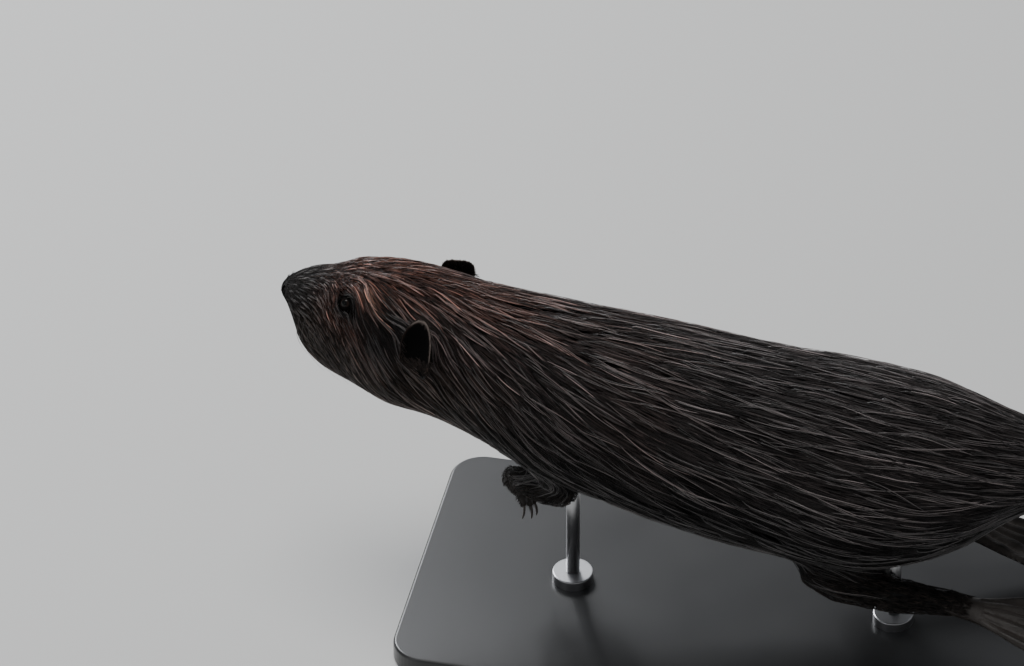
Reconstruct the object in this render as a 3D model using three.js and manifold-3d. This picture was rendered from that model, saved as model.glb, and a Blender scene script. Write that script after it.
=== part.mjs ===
// A life-size North American beaver in its swimming pose, held by two rods over a flat display base.
//
// Millimetres, +Z up. The beaver faces -X, its right side is +Y, and the origin lies on the base's
// underside, below the middle of the model. The body is one smooth form from the nose to the tip of the
// tail, parted by thin cuts. Its outer surface is the outside of the wet coat, out to the hair tips.
// "at" is always the distance behind the nose tip, and heights on the animal start from the nose tip.
import * as THREE from 'three';
import { mergeVertices } from 'three/addons/utils/BufferGeometryUtils.js';
import Module from 'manifold-3d';

const wasm = await Module();
wasm.setup();

// ---- Driving sizes -------------------------------------------------------------------------------

const gap = 0.3; // between neighbouring solids
const headEnd = 150; // the cuts across the body
const neckEnd = 216;
const trunkEnd = 640;
const bladeStart = 700; // the first scales
const tailTip = 950;
const noseRounding = 9; // how soon the blunt nose and the tail's tip reach their full section
const tipRounding = 62;

const eyeRadius = 5.8;
const earHeight = 36;
const earWidth = 30;
const hindFootLength = 152;
const baseSize = { length: 560, width: 292, thickness: 18, corner: 24, bevel: 2 };
const baseTop = -262; // measured from the nose tip, as all heights on the animal are
const rodRadius = 6;
const rodPlaces = [262, 548]; // below the shoulders and below the hips

// The body's stations: at, sideways shift of the middle line, heights of the top and bottom lines,
// half width, and how square the section is (2 is an ellipse, less is a lens with thin edges).
const stations = [
  /* nose        */ [0, 16.5, 8, -7, 12, 2.3],
  /* upper lip   */ [11, 15.5, 17, -11, 19.5, 2.4],
  /* lips        */ [23, 14, 24.5, -44, 28.5, 2.45],
  /* muzzle      */ [36, 13, 29, -59, 35, 2.4],
  /* eyes        */ [73, 9, 41, -73, 48, 2.25],
  /* cheeks      */ [108, 6, 45, -84, 56, 2.1],
  /* ears        */ [138, 3, 43, -90, 58, 2.05],
  /* nape        */ [175, -1, 37, -99, 63, 2],
  /* shoulders   */ [240, -6, 28, -121, 77, 2.05],
  /* ribs        */ [330, -10, 18, -146, 90, 2.1],
  /* loin        */ [430, -10, 4, -166, 97, 2.05],
  /* haunch      */ [520, -6, -7, -170, 100, 2],
  /* rump        */ [592, -1, -21, -153, 88, 2],
  /* tail root   */ [645, 6, -39, -122, 58, 2],
  /* first scales*/ [700, 13, -57, -98, 35, 2.1],
  /* blade neck  */ [735, 18, -63, -92, 48, 1.75],
  /* blade waist */ [790, 25, -70, -91, 58, 1.5],
  /* blade wide  */ [860, 34, -78, -93, 60, 1.45],
  /* blade end   */ [950, 46, -88, -97, 52, 1.45],
];

// Soft swellings and hollows on both sides of the body: where they are, at which angle above the
// widest line, how far they reach along and round the body, and their height.
const bulges = {
  lipPad: { at: 30, angle: -12, along: 13, round: 30, height: 3.5 },
  bridge: { at: 44, angle: 58, along: 16, round: 24, height: -3 },
  brow: { at: 61, angle: 66, along: 15, round: 13, height: 3 },
  eyeHollow: { at: 66, angle: 42, along: 11, round: 14, height: -3.5 },
  cheek: { at: 106, angle: -14, along: 27, round: 34, height: 7 },
  earRoot: { at: 132, angle: 16, along: 13, round: 18, height: 2 },
  shoulder: { at: 250, angle: -18, along: 36, round: 34, height: 7 },
  haunch: { at: 520, angle: -12, along: 62, round: 38, height: 9 },
};

// ---- Solids --------------------------------------------------------------------------------------

function solidOf(geometry) {
  const bare = geometry.clone();
  bare.deleteAttribute('normal');
  bare.deleteAttribute('uv');
  const merged = mergeVertices(bare, 1e-3);
  return new wasm.Manifold(
    new wasm.Mesh({
      numProp: 3,
      vertProperties: merged.attributes.position.array,
      triVerts: new Uint32Array(merged.index.array),
    }),
  );
}

function geometryOf(solid) {
  const mesh = solid.getMesh();
  const geometry = new THREE.BufferGeometry();
  geometry.setAttribute('position', new THREE.BufferAttribute(mesh.vertProperties.slice(), 3));
  geometry.setIndex(new THREE.BufferAttribute(mesh.triVerts.slice(), 1));
  geometry.computeVertexNormals();
  return geometry;
}

// A closed skin over rings of points. Point k of a ring lies opposite point count - k, so both ends
// are closed by a strip between the two halves of the ring, which also suits flat and wavy ends.
function loft(rings) {
  const count = rings[0].length;
  const half = count / 2;
  const index = [];
  const quad = (a, b, c, d) => index.push(a, b, c, a, c, d);
  for (let i = 0; i + 1 < rings.length; i += 1) {
    for (let k = 0; k < count; k += 1) {
      const next = (k + 1) % count;
      quad(i * count + k, i * count + next, (i + 1) * count + next, (i + 1) * count + k);
    }
  }
  const last = (rings.length - 1) * count;
  const caps = [
    (a, b, c) => index.push(a, c, b),
    (a, b, c) => index.push(last + a, last + b, last + c),
  ];
  for (const triangle of caps) {
    triangle(0, 1, count - 1);
    for (let k = 1; k + 1 < half; k += 1) {
      triangle(k, k + 1, count - k - 1);
      triangle(k, count - k - 1, count - k);
    }
    triangle(half - 1, half, half + 1);
  }
  const geometry = new THREE.BufferGeometry();
  const positions = rings.flat().flatMap((p) => [p.x, p.y, p.z]);
  geometry.setAttribute('position', new THREE.Float32BufferAttribute(positions, 3));
  geometry.setIndex(index);
  const solid = solidOf(geometry);
  if (solid.volume() > 0) return solid;
  for (let i = 0; i < index.length; i += 3) [index[i + 1], index[i + 2]] = [index[i + 2], index[i + 1]];
  geometry.setIndex(index);
  return solidOf(geometry);
}

// A smooth curve through rows of numbers, the first of each row being where it applies.
function smooth(rows) {
  const width = rows[0].length - 1;
  const curve = new THREE.CubicInterpolant(
    rows.map((row) => row[0]),
    rows.flatMap((row) => row.slice(1)),
    width,
  );
  return (at) => Array.from(curve.evaluate(at));
}

const power = (value, exponent) => Math.sign(value) * Math.abs(value) ** exponent;
const bluntness = 0.03; // keeps the first ring of a round end open
const roundEnd = (share) => (share >= 1 ? 1 : Math.sqrt(1 - (1 - Math.max(share, bluntness)) ** 2));
const bell = (distance, reach) => Math.exp(-((distance / reach) ** 2));
const degrees = THREE.MathUtils.degToRad;

// ---- The body's surface --------------------------------------------------------------------------

const station = smooth(stations);
const widestShare = 0.46; // how high the widest line lies between the bottom and top lines

// The point of the body's surface at an angle above the widest line, 0 to the right and 180 to the left.
function bodyPoint(at, angle, grow = 0) {
  const [shift, top, bottom, half, square] = station(at);
  const ending = roundEnd(at / noseRounding) * roundEnd((tailTip - at) / tipRounding);
  const widest = bottom + widestShare * (top - bottom);
  const cos = Math.cos(angle);
  const sin = Math.sin(angle);
  const flatness = at > bladeStart ? 1 : ending; // the tail's tip is round from above, not from the side
  const upright = (sin > 0 ? top - widest : widest - bottom) * flatness;
  const side = power(cos, 2 / square) * (half * ending + grow);
  const rise = power(sin, 2 / square) * (upright + grow);
  const around = THREE.MathUtils.radToDeg(Math.asin(sin));
  let swell = 0;
  for (const b of Object.values(bulges)) {
    swell += b.height * bell(at - b.at, b.along) * bell(around - b.angle, b.round);
  }
  const out = new THREE.Vector3(0, side, rise);
  out.setLength(out.length() + swell * ending);
  const lean = (station(at - 1)[0] - station(at + 1)[0]) / 2; // sections stand square to the middle line
  return new THREE.Vector3(at + out.y * lean, shift + out.y, widest + out.z);
}

// The surface's point and outward direction on one side: -1 is the animal's left, 1 its right.
function spot(at, height, side) {
  const angle = side > 0 ? degrees(height) : degrees(180 - height);
  const point = bodyPoint(at, angle);
  const along = bodyPoint(at + 2, angle).sub(bodyPoint(at - 2, angle));
  const round = bodyPoint(at, angle + 0.03).sub(bodyPoint(at, angle - 0.03));
  const outward = round.cross(along).normalize();
  return { point, outward };
}

// Ring places: dense on the face and at both ends, wider apart on the trunk.
function ringPlaces() {
  const spans = [
    [0, headEnd, 16, 1.35],
    [headEnd, neckEnd, 3, 1],
    [neckEnd, trunkEnd, 14, 1],
    [trunkEnd, bladeStart, 3, 1],
    [bladeStart, tailTip - tipRounding, 5, 1],
    [tailTip - tipRounding, tailTip, 5, 0.5],
  ];
  const places = [0];
  for (const [from, to, count, crowding] of spans) {
    for (let i = 1; i <= count; i += 1) places.push(from + (to - from) * (i / count) ** crowding);
  }
  return places.flatMap((at) =>
    [headEnd, neckEnd, trunkEnd, bladeStart].includes(at) ? [at - gap / 2, at + gap / 2] : [at],
  );
}

const places = ringPlaces();
const ringSides = 24;

function bodySlice(from, to, grow = 0) {
  const inside = places.filter((at) => at > from && at < to);
  return loft(
    inside.map((at) =>
      Array.from({ length: ringSides }, (_, k) => bodyPoint(at, (k / ringSides) * 2 * Math.PI, grow)),
    ),
  );
}

// ---- Limbs and plates ----------------------------------------------------------------------------

// A limb along a curve: rows of [x, y, z, half width, half depth]. Its width lies along "across", and
// "ends" is the share of its length over which each end rounds off.
function limb({ rows, across, rings, sides, ends }, grow = 0) {
  const curve = new THREE.CatmullRomCurve3(rows.map(([x, y, z]) => new THREE.Vector3(x, y, z)));
  const radii = smooth(rows.map((row, i) => [i / (rows.length - 1), row[3], row[4]]));
  return loft(
    Array.from({ length: rings + 1 }, (_, i) => {
      const t = (1 - Math.cos((i / rings) * Math.PI)) / 2;
      const centre = curve.getPoint(t);
      const along = curve.getTangent(t);
      const wide = across.clone().addScaledVector(along, -across.dot(along)).normalize();
      const deep = along.clone().cross(wide);
      const ending = roundEnd(t / ends) * roundEnd((1 - t) / ends);
      const [width, depth] = radii(t);
      centre.addScaledVector(along, grow * (2 * t - 1));
      return Array.from({ length: sides }, (__, k) => {
        const angle = (k / sides) * 2 * Math.PI;
        return centre
          .clone()
          .addScaledVector(wide, Math.cos(angle) * (width * ending + grow))
          .addScaledVector(deep, Math.sin(angle) * (depth * ending + grow));
      });
    }),
  );
}

// A thin plate with its own thickness above and below a middle surface, over t from root to rim and
// v from one edge to the other. Crowding over 1 sets its rings closer towards the rim.
function plate({ rings, sides, middle, above, below, normal, crowding = 1 }) {
  const steps = sides / 2;
  return loft(
    Array.from({ length: rings + 1 }, (_, i) =>
      Array.from({ length: sides }, (__, k) => {
        const t = 1 - (1 - i / rings) ** crowding;
        const upper = k <= steps;
        const v = upper ? 1 - (2 * k) / steps : -1 + (2 * (k - steps)) / steps;
        const thinned = Math.sqrt(1 - v ** 6); // the edges taper to nothing
        const lift = upper ? above(t, v) : -below(t, v);
        return middle(t, v).addScaledVector(normal, lift * thinned);
      }),
    ),
  );
}

const frameOf = (origin, x, y, z) => new THREE.Matrix4().makeBasis(x, y, z).setPosition(origin);
const inFrame = (solid, matrix) => solid.transform(matrix.elements);

// A frame at an ankle or wrist: x along the foot, pitched down and turned out, y across, z its back.
function footFrame([x, y, z], { pitch, turn, backDown = false }) {
  const euler = new THREE.Euler(backDown ? Math.PI : 0, degrees(pitch), degrees(turn), 'ZYX');
  return new THREE.Matrix4().makeRotationFromEuler(euler).setPosition(x, y, z);
}

// ---- Head pieces ---------------------------------------------------------------------------------

const eyeSpot = { at: 66, height: 47, sunk: 3.2 };
const earSpot = { at: 138, height: 20 };
const earShape = { sunk: 0.3, cupDepth: 4, rootInset: 7, rimOffset: 6, widestAt: 0.46, thickness: 3.2 };

function eyeCentre(side) {
  const { point, outward } = spot(eyeSpot.at, eyeSpot.height, side);
  return point.addScaledVector(outward, -eyeSpot.sunk);
}

function eyeBall(side, grow = 0) {
  const centre = eyeCentre(side);
  return solidOf(new THREE.SphereGeometry(eyeRadius + grow, 10, 7).translate(...centre.toArray()));
}

// The bare nose pad wraps the front of the muzzle and is wider than it is tall.
function nosePad(grow = 0) {
  const rows = [
    [-3, 16.5, 1.5, 7, 4.5],
    [1, 16.5, 2, 12.5, 7.5],
    [8, 16, 4, 15.5, 9.5],
    [16, 15.5, 6, 14, 9],
  ];
  return limb({ rows, across: new THREE.Vector3(0, 1, 0), rings: 6, sides: 12, ends: 0.3 }, grow);
}

// An ear is a small round cup with a thick rim, open to the front and the side. It leans in over the
// head, and the bottom of the cup is sunk in it.
function ear(side) {
  const { point } = spot(earSpot.at, earSpot.height, side);
  const tall = new THREE.Vector3(0.22, -0.48 * side, 0.85).normalize();
  const faces = new THREE.Vector3(-0.28, side * 0.94, 0.15);
  faces.addScaledVector(tall, -faces.dot(tall)).normalize();
  const across = tall.clone().cross(faces);
  const { lerp, smoothstep } = THREE.MathUtils;
  const { sunk, cupDepth, rootInset, rimOffset, widestAt } = earShape;
  const standsOff = (t) => lerp(-rootInset, rimOffset, smoothstep(t, 0, 0.5));
  const fromWidest = (t) => (t - widestAt) / (1.02 - widestAt);
  const width = (t) => (earWidth / 2) * Math.sqrt(Math.max(1 - fromWidest(t) ** 2, 0.05));
  return plate({
    rings: 6,
    sides: 16,
    crowding: 1.5,
    normal: faces,
    above: () => earShape.thickness / 2,
    below: () => earShape.thickness / 2,
    middle: (t, v) =>
      point
        .clone()
        .addScaledVector(tall, (t * (1 + sunk) - sunk) * earHeight * (1 - 0.1 * v * v))
        .addScaledVector(across, width(t) * v)
        .addScaledVector(faces, cupDepth * v * v * (1 - t * t * 0.25) + standsOff(t)),
  });
}

// ---- Feet ----------------------------------------------------------------------------------------

const lateral = new THREE.Vector3(0, 1, 0);
const toeNumbers = [-2, -1, 0, 1, 2];
const toePitch = 0.46; // sideways place of one toe from the next, as a share of the half width
const hindToeLengths = [0.8, 0.93, 1, 1, 0.9]; // from the inner to the outer toe

// The frame of a toe's tip: x on along the toe, and the origin a little before or beyond its end.
function toeFrame(before, tip, beyond) {
  const x = tip.clone().sub(before).normalize();
  const y = lateral.clone().addScaledVector(x, -lateral.dot(x)).normalize();
  return frameOf(tip.clone().addScaledVector(x, beyond), x, y, x.clone().cross(y));
}

// A claw in its toe's frame: its root is inside the toe, and it curves towards the sole.
function claw({ length, width, depth, bend }, matrix, grow = 0) {
  const rows = [
    [-4, 0, 0, width, depth],
    [length * 0.35, 0, 0, width * 0.85, depth * 0.85],
    [length, 0, -bend, width * 0.25, depth * 0.3],
  ];
  return inFrame(limb({ rows, across: lateral, rings: 3, sides: 4, ends: 0.12 }, grow), matrix);
}

// A webbed hind foot in its own frame: x to the toes, y to the outer toe, z to the back of the foot.
// Its heel is fleshy, and beyond it five bony toes run out as ridges in the thin web.
const hindFootShape = {
  heelHalf: 13,
  webDip: 0.09, // how far the web's edge lies behind the toe tips, as a share of their length
  webEdge: 1, // thicknesses above and below the middle
  fleshAbove: 11,
  fleshBelow: 7,
  toeAbove: 4.2,
  toeBelow: 2.6,
  toeDroop: 7,
  edgeDroop: 4,
};

function hindFoot({ spread, outer }) {
  const { smoothstep, clamp, lerp } = THREE.MathUtils;
  const shape = hindFootShape;
  const lengthAt = (v) => {
    const place = clamp((v * outer) / toePitch + 2, 0, 4);
    const lower = Math.min(Math.floor(place), 3);
    return lerp(hindToeLengths[lower], hindToeLengths[lower + 1], place - lower);
  };
  const ridge = (v) => Math.cos((Math.PI * v) / toePitch) ** 2;
  const reach = (v) => lengthAt(v) * (1 - shape.webDip * (1 - ridge(v)));
  const halfWidth = (t) => lerp(shape.heelHalf, spread / 2, smoothstep(t, 0.05, 1));
  const fleshy = (t) => 1 - smoothstep(t, 0.2, 0.75);
  const bony = (t, v) => ridge(v) * (1 - fleshy(t)) * (1 - 0.35 * t);
  const middle = (t, v) => {
    const x = hindFootLength * (t + t * t * (reach(v) - 1));
    const z = -shape.toeDroop * t * t - shape.edgeDroop * t * v * v;
    return new THREE.Vector3(x, halfWidth(t) * v, z);
  };
  const thickness = (flesh, toe) => (t, v) =>
    shape.webEdge + flesh * fleshy(t) * (1 - v * v) + toe * bony(t, v);
  const foot = plate({
    rings: 6,
    sides: 20,
    normal: new THREE.Vector3(0, 0, 1),
    middle,
    above: thickness(shape.fleshAbove, shape.toeAbove),
    below: thickness(shape.fleshBelow, shape.toeBelow),
  });
  const toes = toeNumbers.map((n) => toeFrame(middle(0.85, n * toePitch), middle(1, n * toePitch), 0.5));
  return { foot, toes };
}

const hindClaw = { length: 13, width: 3.1, depth: 1.7, bend: 3.5 };
const foreClaw = { length: 11, width: 1.9, depth: 1.7, bend: 3.2 };

// A small forepaw: a palm and five loosely curled fingers, in the same kind of frame.
const foreFingers = { lengths: [15, 21, 24, 21, 15], pitch: 5.6, fan: 0.13, curl: 6 };

function forePaw() {
  const palmRows = [
    [0, 0, 0, 11, 8],
    [14, 0, 0, 14, 8.5],
    [29, 0, -2, 15, 7],
  ];
  let paw = limb({ rows: palmRows, across: lateral, rings: 4, sides: 8, ends: 0.22 });
  const toes = toeNumbers.map((n, i) => {
    const root = new THREE.Vector3(20 - 1.5 * Math.abs(n), n * foreFingers.pitch, -1.5);
    const heading = new THREE.Vector3(Math.cos(n * foreFingers.fan), Math.sin(n * foreFingers.fan), 0);
    const along = (share) => {
      const point = root.clone().addScaledVector(heading, foreFingers.lengths[i] * share);
      return point.setZ(root.z - foreFingers.curl * share ** 2.5);
    };
    const rows = [0, 0.5, 1].map((share) => [...along(share).toArray(), 4.1 - share, 4 - share]);
    paw = paw.add(limb({ rows, across: lateral, rings: 3, sides: 6, ends: 0.25 }));
    return toeFrame(along(0.72), along(1), -0.5);
  });
  return { foot: paw, toes };
}

// The claws of one foot, and the foot with a socket cut for each of them.
function clawed({ foot, toes }, shape, matrix) {
  let solid = inFrame(foot, matrix);
  const frames = toes.map((toe) => matrix.clone().multiply(toe));
  for (const frame of frames) solid = solid.subtract(claw(shape, frame, gap));
  return { solid, claws: frames.map((frame) => claw(shape, frame)) };
}

// ---- Legs ----------------------------------------------------------------------------------------

// Forelegs are folded under the chest with the paws held back below it. The hind legs are at two
// moments of the swimming stroke: the left one trails, spread, and the right one is drawn forward.
const legs = {
  left: {
    side: -1,
    upperArm: [
      [244, -50, -70, 24, 30],
      [262, -58, -100, 22, 26],
      [272, -60, -124, 17, 18],
    ],
    forearm: [
      [276, -61, -120, 16, 17],
      [244, -48, -131, 15, 15],
      [210, -33, -130, 11.5, 11],
    ],
    wrist: [207, -32, -132],
    paw: { pitch: 44, turn: 8 },
    thigh: [
      [548, -52, -78, 34, 46],
      [515, -72, -112, 34, 52],
      [484, -80, -140, 25, 32],
    ],
    shank: [
      [478, -80, -142, 23, 25],
      [530, -84, -164, 21, 21],
      [592, -80, -172, 13, 14],
      [622, -78, -173, 11, 12],
    ],
    ankle: [606, -78, -172],
    foot: { pitch: 9, turn: -4, backDown: true },
    spread: 118,
  },
  right: {
    side: 1,
    upperArm: [
      [244, 42, -70, 24, 30],
      [259, 50, -100, 22, 26],
      [268, 52, -124, 17, 18],
    ],
    forearm: [
      [272, 53, -121, 16, 17],
      [241, 40, -132, 15, 15],
      [207, 27, -132, 11.5, 11],
    ],
    wrist: [204, 26, -134],
    paw: { pitch: 52, turn: -6 },
    thigh: [
      [540, 44, -78, 34, 46],
      [500, 66, -116, 34, 52],
      [462, 74, -144, 25, 32],
    ],
    shank: [
      [458, 74, -146, 23, 25],
      [500, 80, -172, 21, 21],
      [548, 76, -192, 13, 14],
      [570, 74, -198, 11, 12],
    ],
    ankle: [556, 75, -195],
    foot: { pitch: 20, turn: 2, backDown: true },
    spread: 74,
  },
};

const limbShapes = {
  upperArm: { across: lateral, rings: 5, sides: 10, ends: 0.4 },
  forearm: { across: lateral, rings: 6, sides: 10, ends: 0.2 },
  thigh: { across: lateral, rings: 7, sides: 14, ends: 0.5 },
  shank: { across: lateral, rings: 6, sides: 10, ends: 0.12 },
};

// The upper arm and the forearm meet in the elbow as one piece.
function legSolids(leg, grow = 0) {
  const made = (part) => limb({ ...limbShapes[part], rows: leg[part] }, grow);
  return { foreleg: made('upperArm').add(made('forearm')), thigh: made('thigh'), shank: made('shank') };
}

// ---- Stand ---------------------------------------------------------------------------------------

function basePlate(middleAt) {
  const { length, width, thickness, corner, bevel } = baseSize;
  const x = length / 2 - bevel;
  const y = width / 2 - bevel;
  const outline = new THREE.Shape();
  outline.moveTo(-x + corner, -y);
  outline.lineTo(x - corner, -y);
  outline.absarc(x - corner, -y + corner, corner, -Math.PI / 2, 0);
  outline.absarc(x - corner, y - corner, corner, 0, Math.PI / 2);
  outline.absarc(-x + corner, y - corner, corner, Math.PI / 2, Math.PI);
  outline.absarc(-x + corner, -y + corner, corner, Math.PI, 1.5 * Math.PI);
  return new THREE.ExtrudeGeometry(outline, {
    depth: thickness - 2 * bevel,
    bevelThickness: bevel,
    bevelSize: bevel,
    bevelSegments: 1,
    curveSegments: 3,
  }).translate(middleAt, 0, baseTop - thickness + bevel);
}

const rodSides = 12;

function standRod(at, body) {
  const height = -baseTop - 90;
  const rod = new THREE.CylinderGeometry(rodRadius, rodRadius, height, rodSides);
  rod.rotateX(Math.PI / 2);
  rod.translate(at, station(at)[0], baseTop + height / 2);
  return solidOf(rod).subtract(body);
}

// A turned collar round the foot of a rod.
function standCollar(at) {
  const bore = rodRadius + gap;
  const profile = [
    [bore, 0],
    [18, 0],
    [18, 4],
    [11, 9],
    [bore, 9],
    [bore, 0],
  ].map(([r, z]) => new THREE.Vector2(r, z));
  const ring = new THREE.LatheGeometry(profile, rodSides);
  ring.rotateX(Math.PI / 2);
  return ring.translate(at, station(at)[0], baseTop);
}

// ---- Materials -----------------------------------------------------------------------------------

function finish(color, roughness, metalness = 0) {
  return new THREE.MeshStandardMaterial({ color, roughness, metalness });
}

const headFur = finish(0x3d2419, 0.5);
const bodyFur = finish(0x2b1c16, 0.5);
const footSkin = finish(0x211c1b, 0.55);
const tailScales = finish(0x25211f, 0.5);
const bareSkin = finish(0x16110f, 0.45);
const eyeGloss = finish(0x0b0706, 0.08);
const clawHorn = finish(0x2e2620, 0.4);
const baseLacquer = finish(0x1c1c1d, 0.35);
const rodSteel = finish(0x9a9c9f, 0.3, 1);

// ---- Assembly ------------------------------------------------------------------------------------

const beaver = new THREE.Group();
beaver.name = 'beaver';

function addNode(name, geometry, material) {
  const mesh = new THREE.Mesh(geometry, material);
  mesh.name = name;
  beaver.add(mesh);
}

const addSolid = (name, solid, material) => addNode(name, geometryOf(solid), material);

const wholeBody = bodySlice(-1, tailTip + 1, gap);
let head = bodySlice(-1, headEnd).subtract(nosePad(gap));
let trunk = bodySlice(neckEnd, trunkEnd);

for (const [name, leg] of Object.entries(legs)) {
  addSolid(`eye_${name}`, eyeBall(leg.side), eyeGloss);
  head = head.subtract(eyeBall(leg.side, gap));
  addSolid(`ear_${name}`, ear(leg.side).subtract(wholeBody), bareSkin);

  const limbs = legSolids(leg);
  const grown = legSolids(leg, gap);
  for (const limbGrown of Object.values(grown)) trunk = trunk.subtract(limbGrown);
  addSolid(`foreleg_${name}`, limbs.foreleg, bodyFur);
  addSolid(`thigh_${name}`, limbs.thigh, bodyFur);
  addSolid(`shank_${name}`, limbs.shank.subtract(grown.thigh), bodyFur);

  const paw = clawed(forePaw(), foreClaw, footFrame(leg.wrist, leg.paw));
  addSolid(`forepaw_${name}`, paw.solid.subtract(grown.foreleg).subtract(wholeBody), footSkin);
  const hind = hindFoot({ spread: leg.spread, outer: -leg.side });
  const foot = clawed(hind, hindClaw, footFrame(leg.ankle, leg.foot));
  addSolid(`hindfoot_${name}`, foot.solid.subtract(grown.shank).subtract(wholeBody), footSkin);
  toeNumbers.forEach((n, i) => {
    addSolid(`claw_fore_${name}_${i + 1}`, paw.claws[i], clawHorn);
    addSolid(`claw_hind_${name}_${i + 1}`, foot.claws[i], clawHorn);
  });
}

addSolid('nose', nosePad(), bareSkin);
addSolid('head', head, headFur);
addSolid('neck', bodySlice(headEnd, neckEnd), headFur);
addSolid('trunk', trunk, bodyFur);
addSolid('tail_root', bodySlice(trunkEnd, bladeStart), bodyFur);
addSolid('tail_blade', bodySlice(bladeStart, tailTip + 1), tailScales);

const baseMiddle = (rodPlaces[0] + rodPlaces[1]) / 2;
addNode('stand_base', basePlate(baseMiddle), baseLacquer);
rodPlaces.forEach((at, i) => {
  const end = ['front', 'rear'][i];
  addSolid(`stand_rod_${end}`, standRod(at, wholeBody), rodSteel);
  addNode(`stand_collar_${end}`, standCollar(at), rodSteel);
});

// The origin is below the middle of the whole model, on the base's underside.
const extent = new THREE.Box3().setFromObject(beaver);
const middle = extent.getCenter(new THREE.Vector3());
beaver.position.set(-middle.x, -middle.y, -extent.min.z);

export default beaver;
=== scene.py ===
# A life-size beaver in its swimming pose, as a museum shows one: a wet coat of solid locks over one
# skin, glass-like eyes, horn claws, a scaled tail and webbed hind feet, held by two steel rods over a
# lacquered base. Metres throughout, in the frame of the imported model.
import math

import bmesh
import bpy
import numpy as np
from mathutils import Matrix, Vector
from mathutils.bvhtree import BVHTree
from mathutils.kdtree import KDTree


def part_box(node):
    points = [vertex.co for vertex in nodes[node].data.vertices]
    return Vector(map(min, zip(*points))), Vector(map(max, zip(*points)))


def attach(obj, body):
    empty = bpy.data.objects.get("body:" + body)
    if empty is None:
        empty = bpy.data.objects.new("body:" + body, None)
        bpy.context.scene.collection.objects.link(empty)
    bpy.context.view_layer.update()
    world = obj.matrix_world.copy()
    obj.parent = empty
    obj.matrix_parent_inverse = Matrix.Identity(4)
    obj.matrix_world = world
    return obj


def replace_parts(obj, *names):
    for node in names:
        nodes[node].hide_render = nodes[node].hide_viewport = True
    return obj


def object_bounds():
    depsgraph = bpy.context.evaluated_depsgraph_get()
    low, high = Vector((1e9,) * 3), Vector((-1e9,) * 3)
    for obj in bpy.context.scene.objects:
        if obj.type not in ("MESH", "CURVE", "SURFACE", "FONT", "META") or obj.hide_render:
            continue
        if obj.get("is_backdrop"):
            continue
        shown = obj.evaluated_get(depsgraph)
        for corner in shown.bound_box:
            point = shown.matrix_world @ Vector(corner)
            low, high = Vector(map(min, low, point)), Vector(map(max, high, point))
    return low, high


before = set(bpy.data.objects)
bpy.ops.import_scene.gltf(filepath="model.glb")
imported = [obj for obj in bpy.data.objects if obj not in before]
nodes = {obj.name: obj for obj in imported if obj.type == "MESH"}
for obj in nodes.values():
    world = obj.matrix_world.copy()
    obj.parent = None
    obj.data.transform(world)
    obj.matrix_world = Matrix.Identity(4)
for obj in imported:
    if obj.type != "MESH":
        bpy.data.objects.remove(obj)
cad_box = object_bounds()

MM = 0.001

# ---- The coat's outer form ---------------------------------------------------------------------
# A museum beaver starts as a carved form. This one is the outside of the wet coat, from the nose to
# the end of the fur on the tail. It isn't shown: the skin lies under it and the locks lie in between.
FURRED = [n for n in nodes if n in ("nose", "head", "neck", "trunk", "tail_root")]
FURRED += [n for n in nodes if n.startswith(("thigh", "shank", "foreleg"))]
FORM_GRAIN = 4 * MM
SWELL = 0.3 * MM  # closes the thin cuts between the nodes


def opened(mesh):
    """A mesh laid open for editing."""
    bm = bmesh.new()
    bm.from_mesh(mesh)
    return bm


def closed(bm, mesh):
    """Writes an edit into its mesh, or into a new mesh of that name."""
    mesh = bpy.data.meshes.new(mesh) if isinstance(mesh, str) else mesh
    bm.to_mesh(mesh)
    bm.free()
    return mesh


def set_out(name, data):
    """A new object in the scene."""
    made = bpy.data.objects.new(name, data)
    bpy.context.scene.collection.objects.link(made)
    return made


def merged_copy(node, swell=SWELL):
    """A copy of a node's mesh with its loose triangles joined up and its surface swollen a little."""
    mesh = nodes[node].data.copy()
    mesh.materials.clear()
    bm = opened(mesh)
    bmesh.ops.remove_doubles(bm, verts=bm.verts, dist=0.001 * MM)
    bm.normal_update()
    for vert in bm.verts:
        vert.co += vert.normal * swell
    return closed(bm, mesh)


def joined(meshes):
    bm = bmesh.new()
    for mesh in meshes:
        bm.from_mesh(mesh)
    return closed(bm, "joined")


def evaluated(mesh, *modifiers):
    """The mesh after modifiers, each a (kind, settings) pair."""
    holder = set_out("holder", mesh)
    for kind, settings in modifiers:
        modifier = holder.modifiers.new(kind, kind)
        for name, value in settings.items():
            setattr(modifier, name, value)
    graph = bpy.context.evaluated_depsgraph_get()
    result = bpy.data.meshes.new_from_object(holder.evaluated_get(graph))
    bpy.data.objects.remove(holder)
    return result


def recast(mesh, grain):
    return evaluated(mesh, ("REMESH", {"mode": "VOXEL", "voxel_size": grain}))


def places(mesh):
    found = np.empty(len(mesh.vertices) * 3)
    mesh.vertices.foreach_get("co", found)
    return found.reshape(-1, 3)


def outwards(mesh):
    found = np.empty(len(mesh.vertices) * 3, np.float32)
    mesh.vertex_normals.foreach_get("vector", found)
    return found.reshape(-1, 3).astype(float)


def edge_ends(mesh):
    ends = np.empty(len(mesh.edges) * 2, np.int32)
    mesh.edges.foreach_get("vertices", ends)
    return ends.reshape(-1, 2).T


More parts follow.
